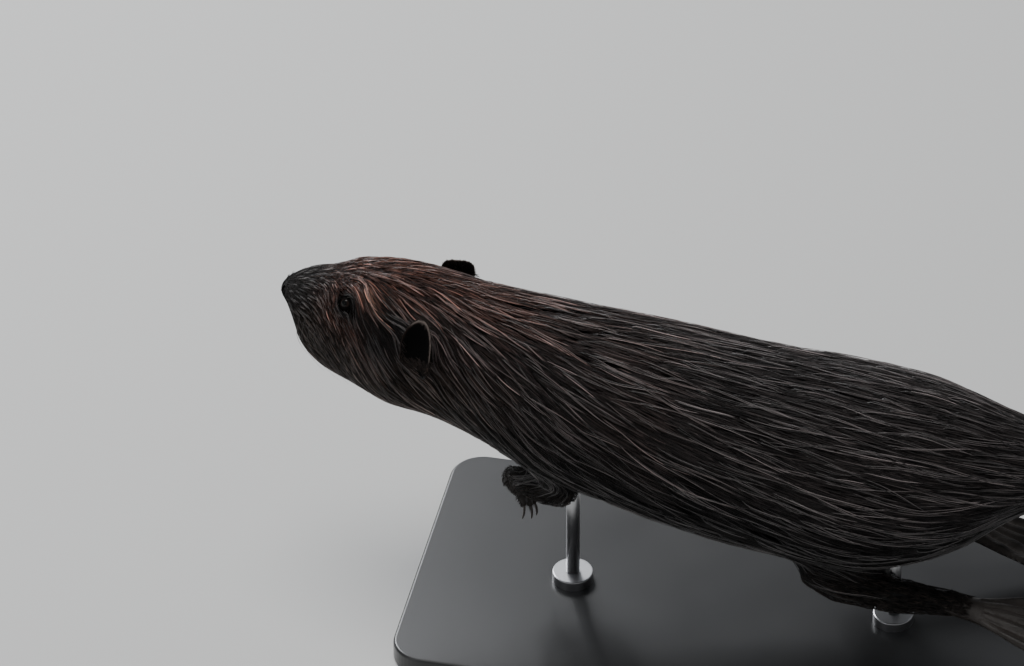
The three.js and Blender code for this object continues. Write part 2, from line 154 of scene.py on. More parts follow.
def settle(values, mesh, rounds, share=0.5, back=0.0):
    """Averages per-vertex values with their neighbours'. With back, each round is then undone by that
    much, which smooths a form without shrinking it. A share may be given for each vertex."""
    a, b = edge_ends(mesh)
    count = len(mesh.vertices)
    degree = np.maximum(np.bincount(a, minlength=count) + np.bincount(b, minlength=count), 1)
    values = np.array(values, float).reshape(count, -1)
    share = np.broadcast_to(np.asarray(share, float), (count,))[:, None]
    for _ in range(rounds):
        for step in (1.0, -back) if back else (1.0,):
            total = np.empty_like(values)
            for k in range(values.shape[1]):
                total[:, k] = np.bincount(a, values[b, k], count) + np.bincount(b, values[a, k], count)
            values += step * share * (total / degree[:, None] - values)
    return values


def stepped(value, low, high):
    """0 below low, 1 above high, and a soft step in between."""
    t = np.clip((value - low) / (high - low), 0, 1)
    return t * t * (3 - 2 * t)


def mm_step(value, low, high):
    """The same, with low and high in mm."""
    return stepped(value, low * MM, high * MM)


def unit(vectors):
    return vectors / np.maximum(np.linalg.norm(vectors, axis=-1, keepdims=True), 1e-9)


def gap_to(spot, points):
    return np.linalg.norm(points - spot, axis=1)


def drawn_to(values, goal, share):
    """Rows of values drawn towards a goal, by a share for each."""
    return values + (np.array(goal) - values) * share[:, None]


eye_nodes = [n for n in nodes if n.startswith("eye_")]
CAST = FURRED + ["tail_blade"]
form = recast(joined([merged_copy(n) for n in CAST + eye_nodes]), FORM_GRAIN)


def tree_of(node_names, swell=0.0):
    """A search tree over several nodes, and which of them each of its faces comes from."""
    points, faces, owners = [], [], []
    for number, node in enumerate(node_names):
        mesh = merged_copy(node, swell)
        start = len(points)
        points += [tuple(v.co) for v in mesh.vertices]
        faces += [tuple(start + i for i in p.vertices) for p in mesh.polygons]
        owners += [number] * len(mesh.polygons)
    return BVHTree.FromPolygons(points, faces), np.array(owners)


# Which node each point of the form belongs to, as soft shares that blend over the cuts.
furred_tree, furred_owner = tree_of(CAST)
owner = np.array([furred_owner[furred_tree.find_nearest(p)[2]] for p in places(form).tolist()])
SHARE_ROUNDS = 6  # how far the shares blend
share = dict(zip(CAST, settle(np.eye(len(CAST))[owner], form, SHARE_ROUNDS).T))
bulk_share = share["trunk"] + share["neck"] + share["tail_root"] + share["tail_blade"]
thigh_share = share["thigh_left"] + share["thigh_right"]
limb_share = 1 - bulk_share - share["head"] - share["nose"]

# The cast is smoothed: broadly on the trunk, and lightly on the head and legs.
ease = 0.22 + 0.28 * stepped(bulk_share - share["tail_blade"], 0.2, 0.9)
form_at = settle(places(form), form, 45, ease, 1.02)
form.vertices.foreach_set("co", form_at.ravel())
form.update()
form_out = outwards(form)


def middle(node):
    low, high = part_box(node)
    return np.array((low + high) / 2)


nose_at = middle("nose")
nose_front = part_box("nose")[0].x
eyes_at = {side: middle("eye_" + side) for side in ("left", "right")}
brow_at = (eyes_at["left"] + eyes_at["right"]) / 2
behind = form_at[:, 0] - nose_front  # how far each point lies behind the nose


def landing(tree, points):
    """The nearest places on a tree's surface, the ways out there, the faces, and how far they are."""
    return [np.array(column) for column in zip(*[tree.find_nearest(p) for p in points.tolist()])]


def distance_to(node_names, points):
    return landing(tree_of(node_names)[0], points)[3]


def from_eyes(points):
    return np.min([gap_to(at, points) for at in eyes_at.values()], axis=0)


# ---- The ears ----------------------------------------------------------------------------------
# Two small round ears, each a cupped leaf of gristle with a thick soft rim. They are modelled here in
# the place and cup of the ear nodes, and cast in one with the skin further on.
EAR_THICK = 2.6 * MM
EAR_ROOT = 7 * MM  # how far an ear's foot goes on below the fur
EAR_WIDEST = 0.48  # where it is widest, of the way up it
EAR_TAPER = 0.45  # how much of its width it loses from there to its foot
EAR_CURL = 0.8 * MM  # how far its edge turns forward


def ear_frame(node):
    """An ear's centre, its axes across, up and outward, and where its vertices lie along them."""
    at = places(merged_copy(node, 0))
    centre = (at.min(0) + at.max(0)) / 2
    _, _, axes = np.linalg.svd(at - at.mean(0))
    facing = axes[2] * np.sign(axes[2] @ (-0.3, math.copysign(1, centre[1] - nose_at[1]), 0.1))
    upward = unit(np.array([0, 0, 1.0]) - facing[2] * facing)
    frame_axes = np.stack([np.cross(upward, facing), upward, facing])
    return centre, frame_axes, (at - centre) @ frame_axes.T


def ear_outline(at):
    """An ear's half width, its middle across, and the heights of its foot and its top."""
    low, high = at.min(0), at.max(0)
    return (high[0] - low[0]) / 2, (high[0] + low[0]) / 2, low[1] - EAR_ROOT, high[1]


def ear_at_height(s):
    """How far above its widest place an ear is at a share of its height, and how its foot narrows it."""
    above = np.clip((s - EAR_WIDEST) / (1 - EAR_WIDEST), 0, None)
    below = np.clip((EAR_WIDEST - s) / EAR_WIDEST, 0, 1)
    return above, 1 - EAR_TAPER * below**2


def to_ear_edge(at, outline):
    """How far out on an ear places lie: 0 in its middle and 1 on its edge."""
    half, mid, foot, top = outline
    above, narrowed = ear_at_height((at[:, 1] - foot) / (top - foot))
    return np.hypot((at[:, 0] - mid) / (half * narrowed), above)


def cup_terms(x, y):
    return np.stack([np.ones_like(x), x, y, x * x, y * y, x * y], -1)


def ear_form(node, rows=26, columns=21):
    centre, axes, at = ear_frame(node)
    across, up, out = at.T
    cup = np.linalg.lstsq(cup_terms(across, up), out, rcond=None)[0]
    half, mid, foot, top = ear_outline(at)
    s = (1 - np.cos(np.linspace(0, 1, rows) * math.pi)) / 2
    above, narrowed = ear_at_height(s)
    width = half * np.sqrt(1 - above**2) * narrowed
    q = np.sin(np.linspace(-1, 1, columns) * math.pi / 2)
    x = mid + width[:, None] * q
    y = np.broadcast_to((foot + (top - foot) * s)[:, None], x.shape)
    sheet = np.stack([x, y, cup_terms(x, y) @ cup + EAR_CURL * (q**4)[None] * (s**0.5)[:, None]], -1)
    bm = bmesh.new()
    layers = []
    for offset in (-EAR_THICK / 2, EAR_THICK / 2):
        world = centre + (sheet + (0, 0, offset)) @ axes
        layers.append([[bm.verts.new(p) for p in row] for row in world])
    back, front = layers
    for r in range(rows - 1):
        for c in range(columns - 1):
            bm.faces.new((front[r][c], front[r][c + 1], front[r + 1][c + 1], front[r + 1][c]))
            bm.faces.new((back[r][c], back[r + 1][c], back[r + 1][c + 1], back[r][c + 1]))
        bm.faces.new((front[r][0], front[r + 1][0], back[r + 1][0], back[r][0]))
        bm.faces.new((front[r][-1], back[r][-1], back[r + 1][-1], front[r + 1][-1]))
    for c in range(columns - 1):
        bm.faces.new((front[0][c], back[0][c], back[0][c + 1], front[0][c + 1]))
        bm.faces.new((front[-1][c], front[-1][c + 1], back[-1][c + 1], back[-1][c]))
    bmesh.ops.remove_doubles(bm, verts=bm.verts, dist=0.05 * MM)
    bmesh.ops.recalc_face_normals(bm, faces=bm.faces)
    return closed(bm, "ear form")


ear_nodes = [n for n in nodes if n.startswith("ear_")]
ear_forms = {n: ear_form(n) for n in ear_nodes}

# ---- The skin ----------------------------------------------------------------------------------
# One hide from the nose to the tail's tip and the toes, with no seam. It lies under the outer form by
# the coat's depth, and comes up to it where the animal is bare: nose, ears, paws, feet and tail.
BARE = ["tail_blade"] + ear_nodes + [n for n in nodes if n.startswith(("forepaw", "hindfoot"))]
NOSE_PAD = 7 * MM  # how far back the bare front of the nose goes
PAD_FRONT = 4.5 * MM  # the slice of the nose that its oval is measured on
MOUTH_DROP = 23 * MM  # the middle of the mouth, below the nose
MOUTH_BACK = 34 * MM  # how far back the mouth runs
nose_own = places(merged_copy("nose", 0))
nose_own = nose_own[nose_own[:, 0] < nose_front + PAD_FRONT]
pad_at = (nose_own.min(0) + nose_own.max(0)) / 2
pad_half = (nose_own.max(0) - nose_own.min(0)) / 2
SKIN_GRAIN = 1.2 * MM
SKIN_TRIANGLES = 186000

ahead = unit((nose_at - brow_at) * (1, 1, 0))
aside = np.array([ahead[1], -ahead[0], 0])


def from_nose_pad(points):
    """How far points lie outside the bare oval of the nose, and from the line of the mouth."""
    across, drop = (points - nose_at) @ aside, points[:, 2] - nose_at[2]
    back_of = points[:, 0] - nose_front
    oval = np.hypot((points - pad_at) @ aside / pad_half[1], (points[:, 2] - pad_at[2]) / pad_half[2])
    pad = np.maximum((oval - 1) * pad_half[2], back_of - NOSE_PAD)
    mouth_line = -MOUTH_DROP - 0.25 * back_of - 0.006 / MM * across**2
    mouth = np.hypot(drop - mouth_line, np.maximum(back_of - MOUTH_BACK, 0))
    return np.maximum(pad, 0), mouth, drop - mouth_line


# The fur comes up over the feet of the ears, so only their blades count as bare.
blades = []
for node in ear_nodes:
    centre, axes, _ = ear_frame(node)
    at = places(ear_forms[node])
    blades += at[(at - centre) @ axes[1] > -7 * MM].tolist()
blade_tree = KDTree(len(blades))
for number, at in enumerate(blades):
    blade_tree.insert(at, number)
blade_tree.balance()
blade_gap = np.array([blade_tree.find(p)[2] for p in form_at.tolist()])
pad_gap, mouth_gap, _ = from_nose_pad(form_at)
from_bare = distance_to([n for n in BARE if n not in ear_nodes], form_at)
from_bare = np.min([from_bare, blade_gap, pad_gap, mouth_gap], axis=0)
from_eye = from_eyes(form_at)

# The coat's depth, in mm, at places behind the nose, and on the legs and the thighs.
DEPTH_STOPS = [0, 30, 70, 120, 175, 240, 560, 700]
DEPTHS = [1.0, 1.5, 2.4, 4, 6, 7.5, 7.5, 5]
LEG_DEPTH = 3.4 * MM
THIGH_DEPTH = 5.5 * MM
depth = np.interp(behind / MM, DEPTH_STOPS, DEPTHS) * MM
depth += (LEG_DEPTH - depth) * stepped(limb_share, 0.2, 0.8)
depth += (THIGH_DEPTH - depth) * stepped(thigh_share, 0.2, 0.8)
depth = settle(depth, form, 10)[:, 0]
depth *= mm_step(from_bare, 0.5, 16) * 0.96 + 0.04
depth *= 0.25 + 0.75 * mm_step(from_eye, 8, 20)
depth = settle(depth, form, 3)[:, 0]

hide = form.copy()
hide.vertices.foreach_set("co", (form_at - form_out * depth[:, None]).ravel())
hide = evaluated(hide, ("SUBSURF", {"levels": 1, "render_levels": 1}))
bm = opened(hide)
tail_start = Vector((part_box("tail_root")[1].x, 0, 0))
whole = bm.verts[:] + bm.edges[:] + bm.faces[:]
bmesh.ops.bisect_plane(bm, geom=whole, plane_co=tail_start, plane_no=(1, 0, 0), clear_outer=True)
bmesh.ops.holes_fill(bm, edges=[e for e in bm.edges if e.is_boundary])
closed(bm, hide)


def bare_form(node):
    """A bare node's own shape, let into its neighbour."""
    if node in ear_forms:
        return ear_forms[node]
    if node == "tail_blade":
        mesh = merged_copy(node, -0.4 * MM)
        mesh.transform(Matrix.Translation((-2 * MM, 0, 0)))
        return mesh
    return merged_copy(node)


skin_mesh = recast(joined([hide] + [bare_form(n) for n in BARE]), SKIN_GRAIN)


def largest_island(mesh):
    """The mesh without the loose bubbles that a cast can leave inside."""
    a, b = edge_ends(mesh)
    label = np.arange(len(mesh.vertices))
    while True:
        low = np.minimum(label[a], label[b])
        fresh = label.copy()
        np.minimum.at(fresh, a, low)
        np.minimum.at(fresh, b, low)
        fresh = fresh[fresh]
        if np.array_equal(fresh, label):
            break
        label = fresh
    names, sizes = np.unique(label, return_counts=True)
    bm = opened(mesh)
    bm.verts.ensure_lookup_table()
    loose = [bm.verts[i] for i in np.flatnonzero(label != names[np.argmax(sizes)])]
    bmesh.ops.delete(bm, geom=loose, context="VERTS")
    return closed(bm, mesh)


def finer_near(mesh, spots, reach):
    """Splits the faces within reach of the spots, so that small folds have something to bend."""
    at = places(mesh)
    near = np.min([gap_to(spot, at) for spot in spots], axis=0) < reach
    a, b = edge_ends(mesh)
    bm = opened(mesh)
    bm.edges.ensure_lookup_table()
    chosen = [bm.edges[i] for i in np.flatnonzero(near[a] & near[b])]
    bmesh.ops.subdivide_edges(bm, edges=chosen, cuts=1, use_grid_fill=True, smooth=0.3)
    return closed(bm, mesh)


skin_mesh = largest_island(skin_mesh)
paws_near = distance_to([n for n in nodes if n.startswith("forepaw")], places(skin_mesh)) < 2 * MM
skin_at = settle(places(skin_mesh), skin_mesh, 6, 0.5, 0.52)
skin_at = settle(skin_at, skin_mesh, 14, 0.5 * paws_near, 1.0)
blade_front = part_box("tail_blade")[0].x
on_tail = stepped(skin_at[:, 0], blade_front, blade_front + 30 * MM)
skin_at = settle(skin_at, skin_mesh, 24, 0.5 * on_tail, 1.0)
skin_mesh.vertices.foreach_set("co", skin_at.ravel())

EYE_RADIUS = 5.8 * MM


def out_near(spot, reach):
    """The mean way out of the form near a place."""
    return unit(form_out[gap_to(spot, form_at) < reach].mean(0))


def eye_axes(at):
    """The ways back, up and out at an eye."""
    outward = out_near(at, 12 * MM)
    along = unit(np.array([1.0, 0, 0]) - outward[0] * outward)
    upward = np.cross(along, outward)
    return along, upward * (-1 if upward[2] < 0 else 1), outward


eye_spots = list(eyes_at.values())
for spots, reach in ((eye_spots, 13 * MM), (eye_spots, 9 * MM), ([nose_at], 17 * MM)):
    skin_mesh = finer_near(skin_mesh, spots, reach)

# The lids: an almond opening a little smaller than the eye, with a rim that stands just proud of it.
LID = {"half_width": 4.7 * MM, "half_height": 3.3 * MM, "rim": 0.6 * MM, "behind": 0.9 * MM}
LID_FOLD = 0.5 * MM  # the crease above the upper lid
skin_at = places(skin_mesh)
for at in eyes_at.values():
    along, upward, outward = eye_axes(at)
    near = np.flatnonzero(gap_to(at, skin_at) < 14 * MM)
    spoke = skin_at[near] - at
    reach = np.linalg.norm(spoke, axis=1)
    spoke = spoke / reach[:, None]
    across = spoke @ along * EYE_RADIUS / LID["half_width"]
    height = spoke @ upward * EYE_RADIUS / LID["half_height"]
    ring = np.hypot(across, height) + 4 * (spoke @ outward < 0)
    lid = EYE_RADIUS + LID["rim"] - (LID["rim"] + LID["behind"]) * (1 - stepped(ring, 0.93, 1.04))
    held = 1 - stepped(ring, 1.25, 2.1)
    reach_now = reach + (lid - reach) * held
    reach_now -= LID_FOLD * np.exp(-(((ring - 1.7) / 0.16) ** 2)) * stepped(height, -0.2, 0.6)
    skin_at[near] = at + spoke * reach_now[:, None]

# The nose pad: two comma-shaped nostrils at its sides, each with a soft raised edge, and a furrow
# below its middle. The mouth is a closed line under the nose that runs back below the cheeks.
NOSTRIL_LONG = 3.8 * MM
NOSTRIL_WIDE = 1.8 * MM
NOSTRIL_DEEP = 3.6 * MM
NOSTRIL_EDGE = 0.5 * MM
FURROW = 1.2 * MM
MOUTH_DEEP = 3.6 * MM
MOUTH_HALF = 1.4 * MM
skin_mesh.vertices.foreach_set("co", skin_at.ravel())
face_out = outwards(skin_mesh)
off = skin_at - nose_at
across, drop, back_of = off @ aside, off[:, 2], skin_at[:, 0] - nose_front
sink = np.zeros(len(skin_at))
for hand in (-1, 1):
    towards = unit(0.5 * ahead + hand * 0.84 * aside + np.array([0, 0, 0.02]))
    off_ray = np.linalg.norm(off - (off @ towards)[:, None] * towards, axis=1) + (off @ towards < 0)
    spot = skin_at[np.argmin(off_ray)]
    outward = face_out[np.argmin(off_ray)]
    slant = np.array([0, 0, 0.8]) - 0.6 * ahead
    slant = unit(slant - (slant @ outward) * outward)
    away = skin_at - spot
    along, wide = away @ slant, away @ np.cross(outward, slant)
    wide = wide + hand * 90 * along**2
    ring = np.hypot(along / NOSTRIL_LONG, wide / NOSTRIL_WIDE)
    close = np.linalg.norm(away, axis=1) < 10 * MM
    sink += NOSTRIL_DEEP * np.exp(-(ring**2.4)) * close
    sink -= NOSTRIL_EDGE * np.exp(-(((ring - 1.7) / 0.4) ** 2)) * close
pad_gap, mouth_gap, over_lip = from_nose_pad(skin_at)
front = back_of < 60 * MM
sink += FURROW * np.exp(-((across / MM) ** 2)) * mm_step(-drop, 2, 6) * (over_lip > 0) * front
sink += MOUTH_DEEP * np.exp(-((mouth_gap / MOUTH_HALF) ** 2)) * front
skin_at = skin_at - face_out * sink[:, None]

# The hind feet: five bony toes stand out of a thin web, with two knuckles each.
TOE_HIGH = 2.6  # mm that a toe stands out of the web, and that each knuckle adds
KNUCKLE_HIGH = 1.1
KNUCKLES = (0.62, 0.82)  # of the way from the heel to the claw
TOE_HALF = 3.4 * MM
WEB_SINK = 0.5 * MM
for side in ("left", "right"):
    low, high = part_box("hindfoot_" + side)
    heel = np.array((low.x, middle("shank_" + side)[1], 0))
    in_reach = (skin_at[:, 0] > low.x - 5 * MM) & (skin_at[:, 0] < high.x + 5 * MM)
    in_reach &= (skin_at[:, 1] > low.y - 5 * MM) & (skin_at[:, 1] < high.y + 5 * MM)
    foot = np.flatnonzero(in_reach & (skin_at[:, 2] < high.z + 8 * MM) & (skin_at[:, 2] > low.z - 8 * MM))
    at = skin_at[foot]
    bone = np.zeros(len(foot))
    for toe in range(1, 6):
        tip = middle(f"claw_hind_{side}_{toe}")
        reach = tip[:2] - heel[:2]
        length = np.linalg.norm(reach)
        reach = reach / length
        along = (at[:, :2] - heel[:2]) @ reach
        off_toe = np.abs((at[:, :2] - heel[:2]) @ np.array([-reach[1], reach[0]]))
        knuckles = sum(np.exp(-(((along / length - place) / 0.05) ** 2)) for place in KNUCKLES)
        thick = TOE_HIGH + KNUCKLE_HIGH * knuckles
        ridge = np.exp(-((off_toe / TOE_HALF) ** 2)) * thick * MM * stepped(along / length, 0.15, 0.5)
        bone = np.maximum(bone, ridge * (face_out[foot, 2] > 0) + 0.45 * ridge * (face_out[foot, 2] <= 0))
    skin_at[foot] += face_out[foot] * (bone - WEB_SINK * (bone < 0.3 * MM))[:, None]
skin_mesh.vertices.foreach_set("co", skin_at.ravel())

skin_mesh = evaluated(skin_mesh, ("DECIMATE", {"ratio": SKIN_TRIANGLES / (2 * len(skin_mesh.polygons))}))
skin_mesh.name = "skin"
skin_at = places(skin_mesh)


def shader(name, colour, roughness, **sockets):
    """A new material, with its node tree and its shader, whose even values sit on its own sockets."""
    made = bpy.data.materials.new(name)
    made.use_nodes = True
    surface = made.node_tree.nodes["Principled BSDF"]
    surface.inputs["Base Color"].default_value = (*colour, 1)
    surface.inputs["Roughness"].default_value = roughness
    for socket, value in sockets.items():
        surface.inputs[socket.replace("_", " ")].default_value = value
    return made, made.node_tree, surface


def add_node(tree, kind, inputs=None, **settings):
    """A node of a kind, with its settings, and its inputs given as values or as sockets to link."""
    made = tree.nodes.new(kind)
    for name, value in settings.items():
        setattr(made, name, value)
    for name, value in (inputs or {}).items():
        if isinstance(value, bpy.types.NodeSocket):
            tree.links.new(value, made.inputs[name])
        else:
            made.inputs[name].default_value = value
    return made


def own_places(tree, scale=(1, 1, 1)):
    """The piece's own coordinates, stretched."""
    where = add_node(tree, "ShaderNodeTexCoord").outputs["Object"]
    return add_node(tree, "ShaderNodeMapping", {"Vector": where, "Scale": scale}).outputs["Vector"]


def noise(tree, scale, detail=2.0, stretch=(1, 1, 1)):
    """A soft noise over the piece's own coordinates, stretched."""
    inputs = {"Vector": own_places(tree, stretch), "Scale": scale, "Detail": detail}
    return add_node(tree, "ShaderNodeTexNoise", inputs).outputs["Fac"]


def ranged(tree, value, low, high):
    """A value from 0 to 1 laid out from low to high."""
    return add_node(tree, "ShaderNodeMapRange", {0: value, 3: low, 4: high}).outputs[0]


def ramp(tree, value, *stops):
    """The colour of a value on a ramp of (position, colour) pairs."""
    made = add_node(tree, "ShaderNodeValToRGB", {"Fac": value})
    elements = made.color_ramp.elements
    while len(elements) < len(stops):
        elements.new(1)
    for element, (position, colour) in zip(elements, stops):
        element.position = position
        element.color = (*colour, 1)
    return made.outputs["Color"]


def stored(tree, name, kind="Fac"):
    """What store has kept under a name, as a number, a colour or a vector."""
    return add_node(tree, "ShaderNodeAttribute", attribute_name=name).outputs[kind]


def mottled(tree, surface, scale, detail, low, high):
    """Gives the surface its stored tint, a little mottled."""
    shade = ranged(tree, noise(tree, scale, detail), low, high)
    inputs = {0: stored(tree, "tint", "Color"), 1: shade}
    worn = add_node(tree, "ShaderNodeVectorMath", inputs, operation="MULTIPLY")
    tree.links.new(worn.outputs[0], surface.inputs["Base Color"])


def raised(tree, surface, height, depth, strength):
    """Drives the surface's bump with a height, as deep as depth."""
    settings = {"Height": height, "Distance": depth, "Strength": strength}
    bump = add_node(tree, "ShaderNodeBump", settings)
    tree.links.new(bump.outputs["Normal"], surface.inputs["Normal"])


def store(mesh, name, values):
    """Keeps one number or one colour for each point of a mesh."""
    if values.ndim == 1:
        mesh.attributes.new(name, "FLOAT", "POINT").data.foreach_set("value", values.astype(np.float32))
        return
    colours = np.ones((len(values), 4), np.float32)
    colours[:, :3] = values
    mesh.attributes.new(name, "FLOAT_COLOR", "POINT").data.foreach_set("color", colours.ravel())


def interp_rows(at, stops, rows):
    """Rows of three values, read at places between stops."""
    return np.stack([np.interp(at, stops, rows[:, k]) for k in range(3)], 1)


# The coat's colours, in the order in which they lie from the nose back, and a painted shade for its
# underside.
MUZZLE = (0.0175, 0.0150, 0.0140)
CHEEK = (0.028, 0.019, 0.015)
SIDE = (0.0185, 0.0153, 0.0155)
CROWN = (0.086, 0.035, 0.024)
NAPE = (0.118, 0.053, 0.038)
WITHERS = (0.045, 0.028, 0.024)
BACK = (0.0250, 0.0205, 0.0200)
RUMP = (0.0145, 0.0122, 0.0118)
UNDERSIDE_SHADE = (0.0112, 0.0104, 0.0102)
LEG = (0.016, 0.012, 0.010)
upper = stepped(form_out[:, 2], -0.3, 0.7)
ALONG_TOP = np.array([MUZZLE, MUZZLE, CROWN, CROWN, NAPE, WITHERS, BACK, BACK, RUMP])
TOP_STOPS = [0, 25, 75, 130, 168, 240, 350, 560, 680]  # mm behind the nose
coat_tint = interp_rows(behind / MM, TOP_STOPS, ALONG_TOP)
low_on_head = 1 - mm_step(form_at[:, 2] - brow_at[2], -30, -8)
on_cheek = low_on_head * mm_step(behind, 8, 24) * (1 - mm_step(behind, 150, 230))
off_top = 1 - stepped(form_out[:, 2] - 0.15 * mm_step(behind, 90, 140), 0.62, 1.0)
off_top *= mm_step(behind, 50, 100) * (1 - mm_step(behind, 240, 330))
# Painted shade: surfaces facing down behind the head are drawn to a darker tone.
below = (1 - upper) * mm_step(behind, 120, 220)
on_leg = stepped(limb_share, 0.1, 0.7)
for tint, here in ((SIDE, 0.88 * off_top), (CHEEK, on_cheek), (UNDERSIDE_SHADE, below), (LEG, on_leg)):
    coat_tint = drawn_to(coat_tint, tint, here)
coat_tint = settle(coat_tint, form, 8)

# The brow: a lock that curls from over the muzzle round above the eye and down behind it, and runs on to
# the ear, with a painted highlight along it. Its route is given along the head and upwards from the eye.
BROW_HIGHLIGHT = (0.100, 0.062, 0.045)
# Near-black for the lids' dark skin and for painted shade round the eye.
EYE_RING_SHADE = (0.004, 0.003, 0.003)
BROW_ROUTE = [(-22, 23), (-8, 26), (6, 25.5), (14.5, 21), (18, 14.5),
              (21, 8), (25, 2), (32, -4), (42, -8), (53, -11)]  # mm
ROUTE_POINTS = 37
HIGHLIGHT_HALF = 2.4 * MM  # how far the painted highlight spreads from the route
TEMPLE = (31 * MM, -10 * MM)  # where the painted shade behind the eye is centred, along and up from it
TEMPLE_SHADE = 0.82
brow_lines = {}
for side, at in eyes_at.items():
    along, upward, _ = eye_axes(at)
    route = np.array([at + (x * along + y * upward) * MM for x, y in BROW_ROUTE])
    route = interp_rows(np.linspace(0, len(route) - 1, ROUTE_POINTS), range(len(route)), route)
    for _ in range(6):
        route[1:-1] = (route[:-2] + 2 * route[1:-1] + route[2:]) / 4
    brow_lines[side] = route
    nearest = np.linalg.norm(form_at[:, None] - route[None], axis=2)
    gap, place = nearest.min(1), nearest.argmin(1) / (ROUTE_POINTS - 1)
    # The painted highlight along the middle stretch of the brow's route.
    pale = np.exp(-((gap / HIGHLIGHT_HALF) ** 2)) * stepped(place, 0.1, 0.3) * (1 - stepped(place, 0.6, 0.85))
    coat_tint = drawn_to(coat_tint, BROW_HIGHLIGHT, 0.8 * pale)
    # Painted shade behind the eye, under the brow lock, but not on the lock itself.
    temple = gap_to(at + TEMPLE[0] * along + TEMPLE[1] * upward, form_at)
    coat_tint *= 1 - TEMPLE_SHADE * ((1 - mm_step(temple, 15, 34)) * (1 - pale))[:, None]
    # Near-black round each eye: the lids and painted shade in its hollow under the brow.
    coat_tint = drawn_to(coat_tint, EYE_RING_SHADE, 1 - mm_step(gap_to(at, form_at), 10, 16))

# The skin takes the coat's colour, darkened as painted shade in the gaps under the locks, and its own
# where it is bare.
NOSE_SKIN = (0.0035, 0.003, 0.003)
EAR_SKIN = (0.018, 0.012, 0.010)
# a painted highlight on the upper rear edge of each ear
EAR_RIM_HIGHLIGHT = (0.170, 0.140, 0.125)
EAR_HOLLOW_SHADE = (0.0012, 0.001, 0.001)
FOOT_SKIN = (0.030, 0.025, 0.022)
TAIL_SKIN = (0.022, 0.019, 0.018)


def triangles_of(mesh):
    """Cuts a mesh into triangles, and gives their corners."""
    bm = opened(mesh)
    bmesh.ops.triangulate(bm, faces=bm.faces)
    return np.array([tuple(p.vertices) for p in closed(bm, mesh).polygons])


form_corners = triangles_of(form)
form_tree = BVHTree.FromPolygons(form_at.tolist(), form_corners.tolist())


def corner_weights(points, corners):
    """How much of each of a triangle's three corners there is in points that lie on it."""
    a, b, c = corners[:, 0], corners[:, 1], corners[:, 2]
    ab, ac, ap = b - a, c - a, points - a
    d00, d01, d11 = (ab * ab).sum(1), (ab * ac).sum(1), (ac * ac).sum(1)
    d20, d21 = (ap * ab).sum(1), (ap * ac).sum(1)
    area = np.maximum(d00 * d11 - d01 * d01, 1e-18)
    v = (d11 * d20 - d01 * d21) / area
    w = (d00 * d21 - d01 * d20) / area
    return np.stack([1 - v - w, v, w], 1)


def on_form(points):
    """Where points land on the coat's outer form: the place, the triangle and its corners' weights."""
    landed, _, triangle, _ = landing(form_tree, points)
    return landed, triangle, corner_weights(landed, form_at[form_corners[triangle]])


def felt(values, triangle, weights):
    """A value kept at the form's points, at places that on_form has found."""
    corners = values[form_corners[triangle]]
    return (corners * (weights if corners.ndim == 2 else weights[..., None])).sum(1)


_, triangle, weights = on_form(skin_at)
# Painted shade: under the coat the skin is darkened to a third of the coat's colour.
skin_tint = felt(coat_tint, triangle, weights) * 0.3
bare = np.zeros(len(skin_at))
from_skin_eye = from_eyes(skin_at)
paws_and_feet = [n for n in BARE if "foot" in n or "paw" in n]
bare_here = [
    (EAR_SKIN, 1 - mm_step(distance_to(ear_nodes, skin_at), 1.5, 5)),
    (FOOT_SKIN, 1 - mm_step(distance_to(paws_and_feet, skin_at), 1, 4)),
    (TAIL_SKIN, 1 - mm_step(distance_to(["tail_blade"], skin_at), 0.8, 4)),
    (NOSE_SKIN, 1 - mm_step(np.minimum(*from_nose_pad(skin_at)[:2]), 0.5, 3)),
    # the lids and the painted shade round the eye
    (EYE_RING_SHADE, 1 - mm_step(from_skin_eye, 7.5, 12)),
]
skin_out = outwards(skin_mesh)
for node in ear_nodes:
    centre, axes, own_at = ear_frame(node)
    at = (skin_at - centre) @ axes.T
    to_edge = to_ear_edge(at, ear_outline(own_at))
    on_blade = (np.abs(at[:, 2]) < 14 * MM) & (to_edge < 1.4)
    # A painted highlight along the upper rear of the ear's edge.
    rear = mm_step(at[:, 0] * np.sign(axes[0, 0]) + 0.5 * at[:, 1], -1, 8)
    rim = stepped(to_edge, 0.90, 0.96) * rear * stepped(skin_out @ axes[2], -0.5, 0.0)
    bare_here.append((EAR_RIM_HIGHLIGHT, rim * on_blade))
    # Painted black shade in the ear's hollow, over its dark skin.
    hollow_shade = (1 - stepped(to_edge, 0.88, 0.94)) * stepped(skin_out @ axes[2], -0.2, 0.2)
    bare_here.append((EAR_HOLLOW_SHADE, hollow_shade * on_blade))
for tint, here in bare_here:
    skin_tint = drawn_to(skin_tint, tint, here)
    bare = np.maximum(bare, here)
store(skin_mesh, "tint", skin_tint)
store(skin_mesh, "bare", bare)

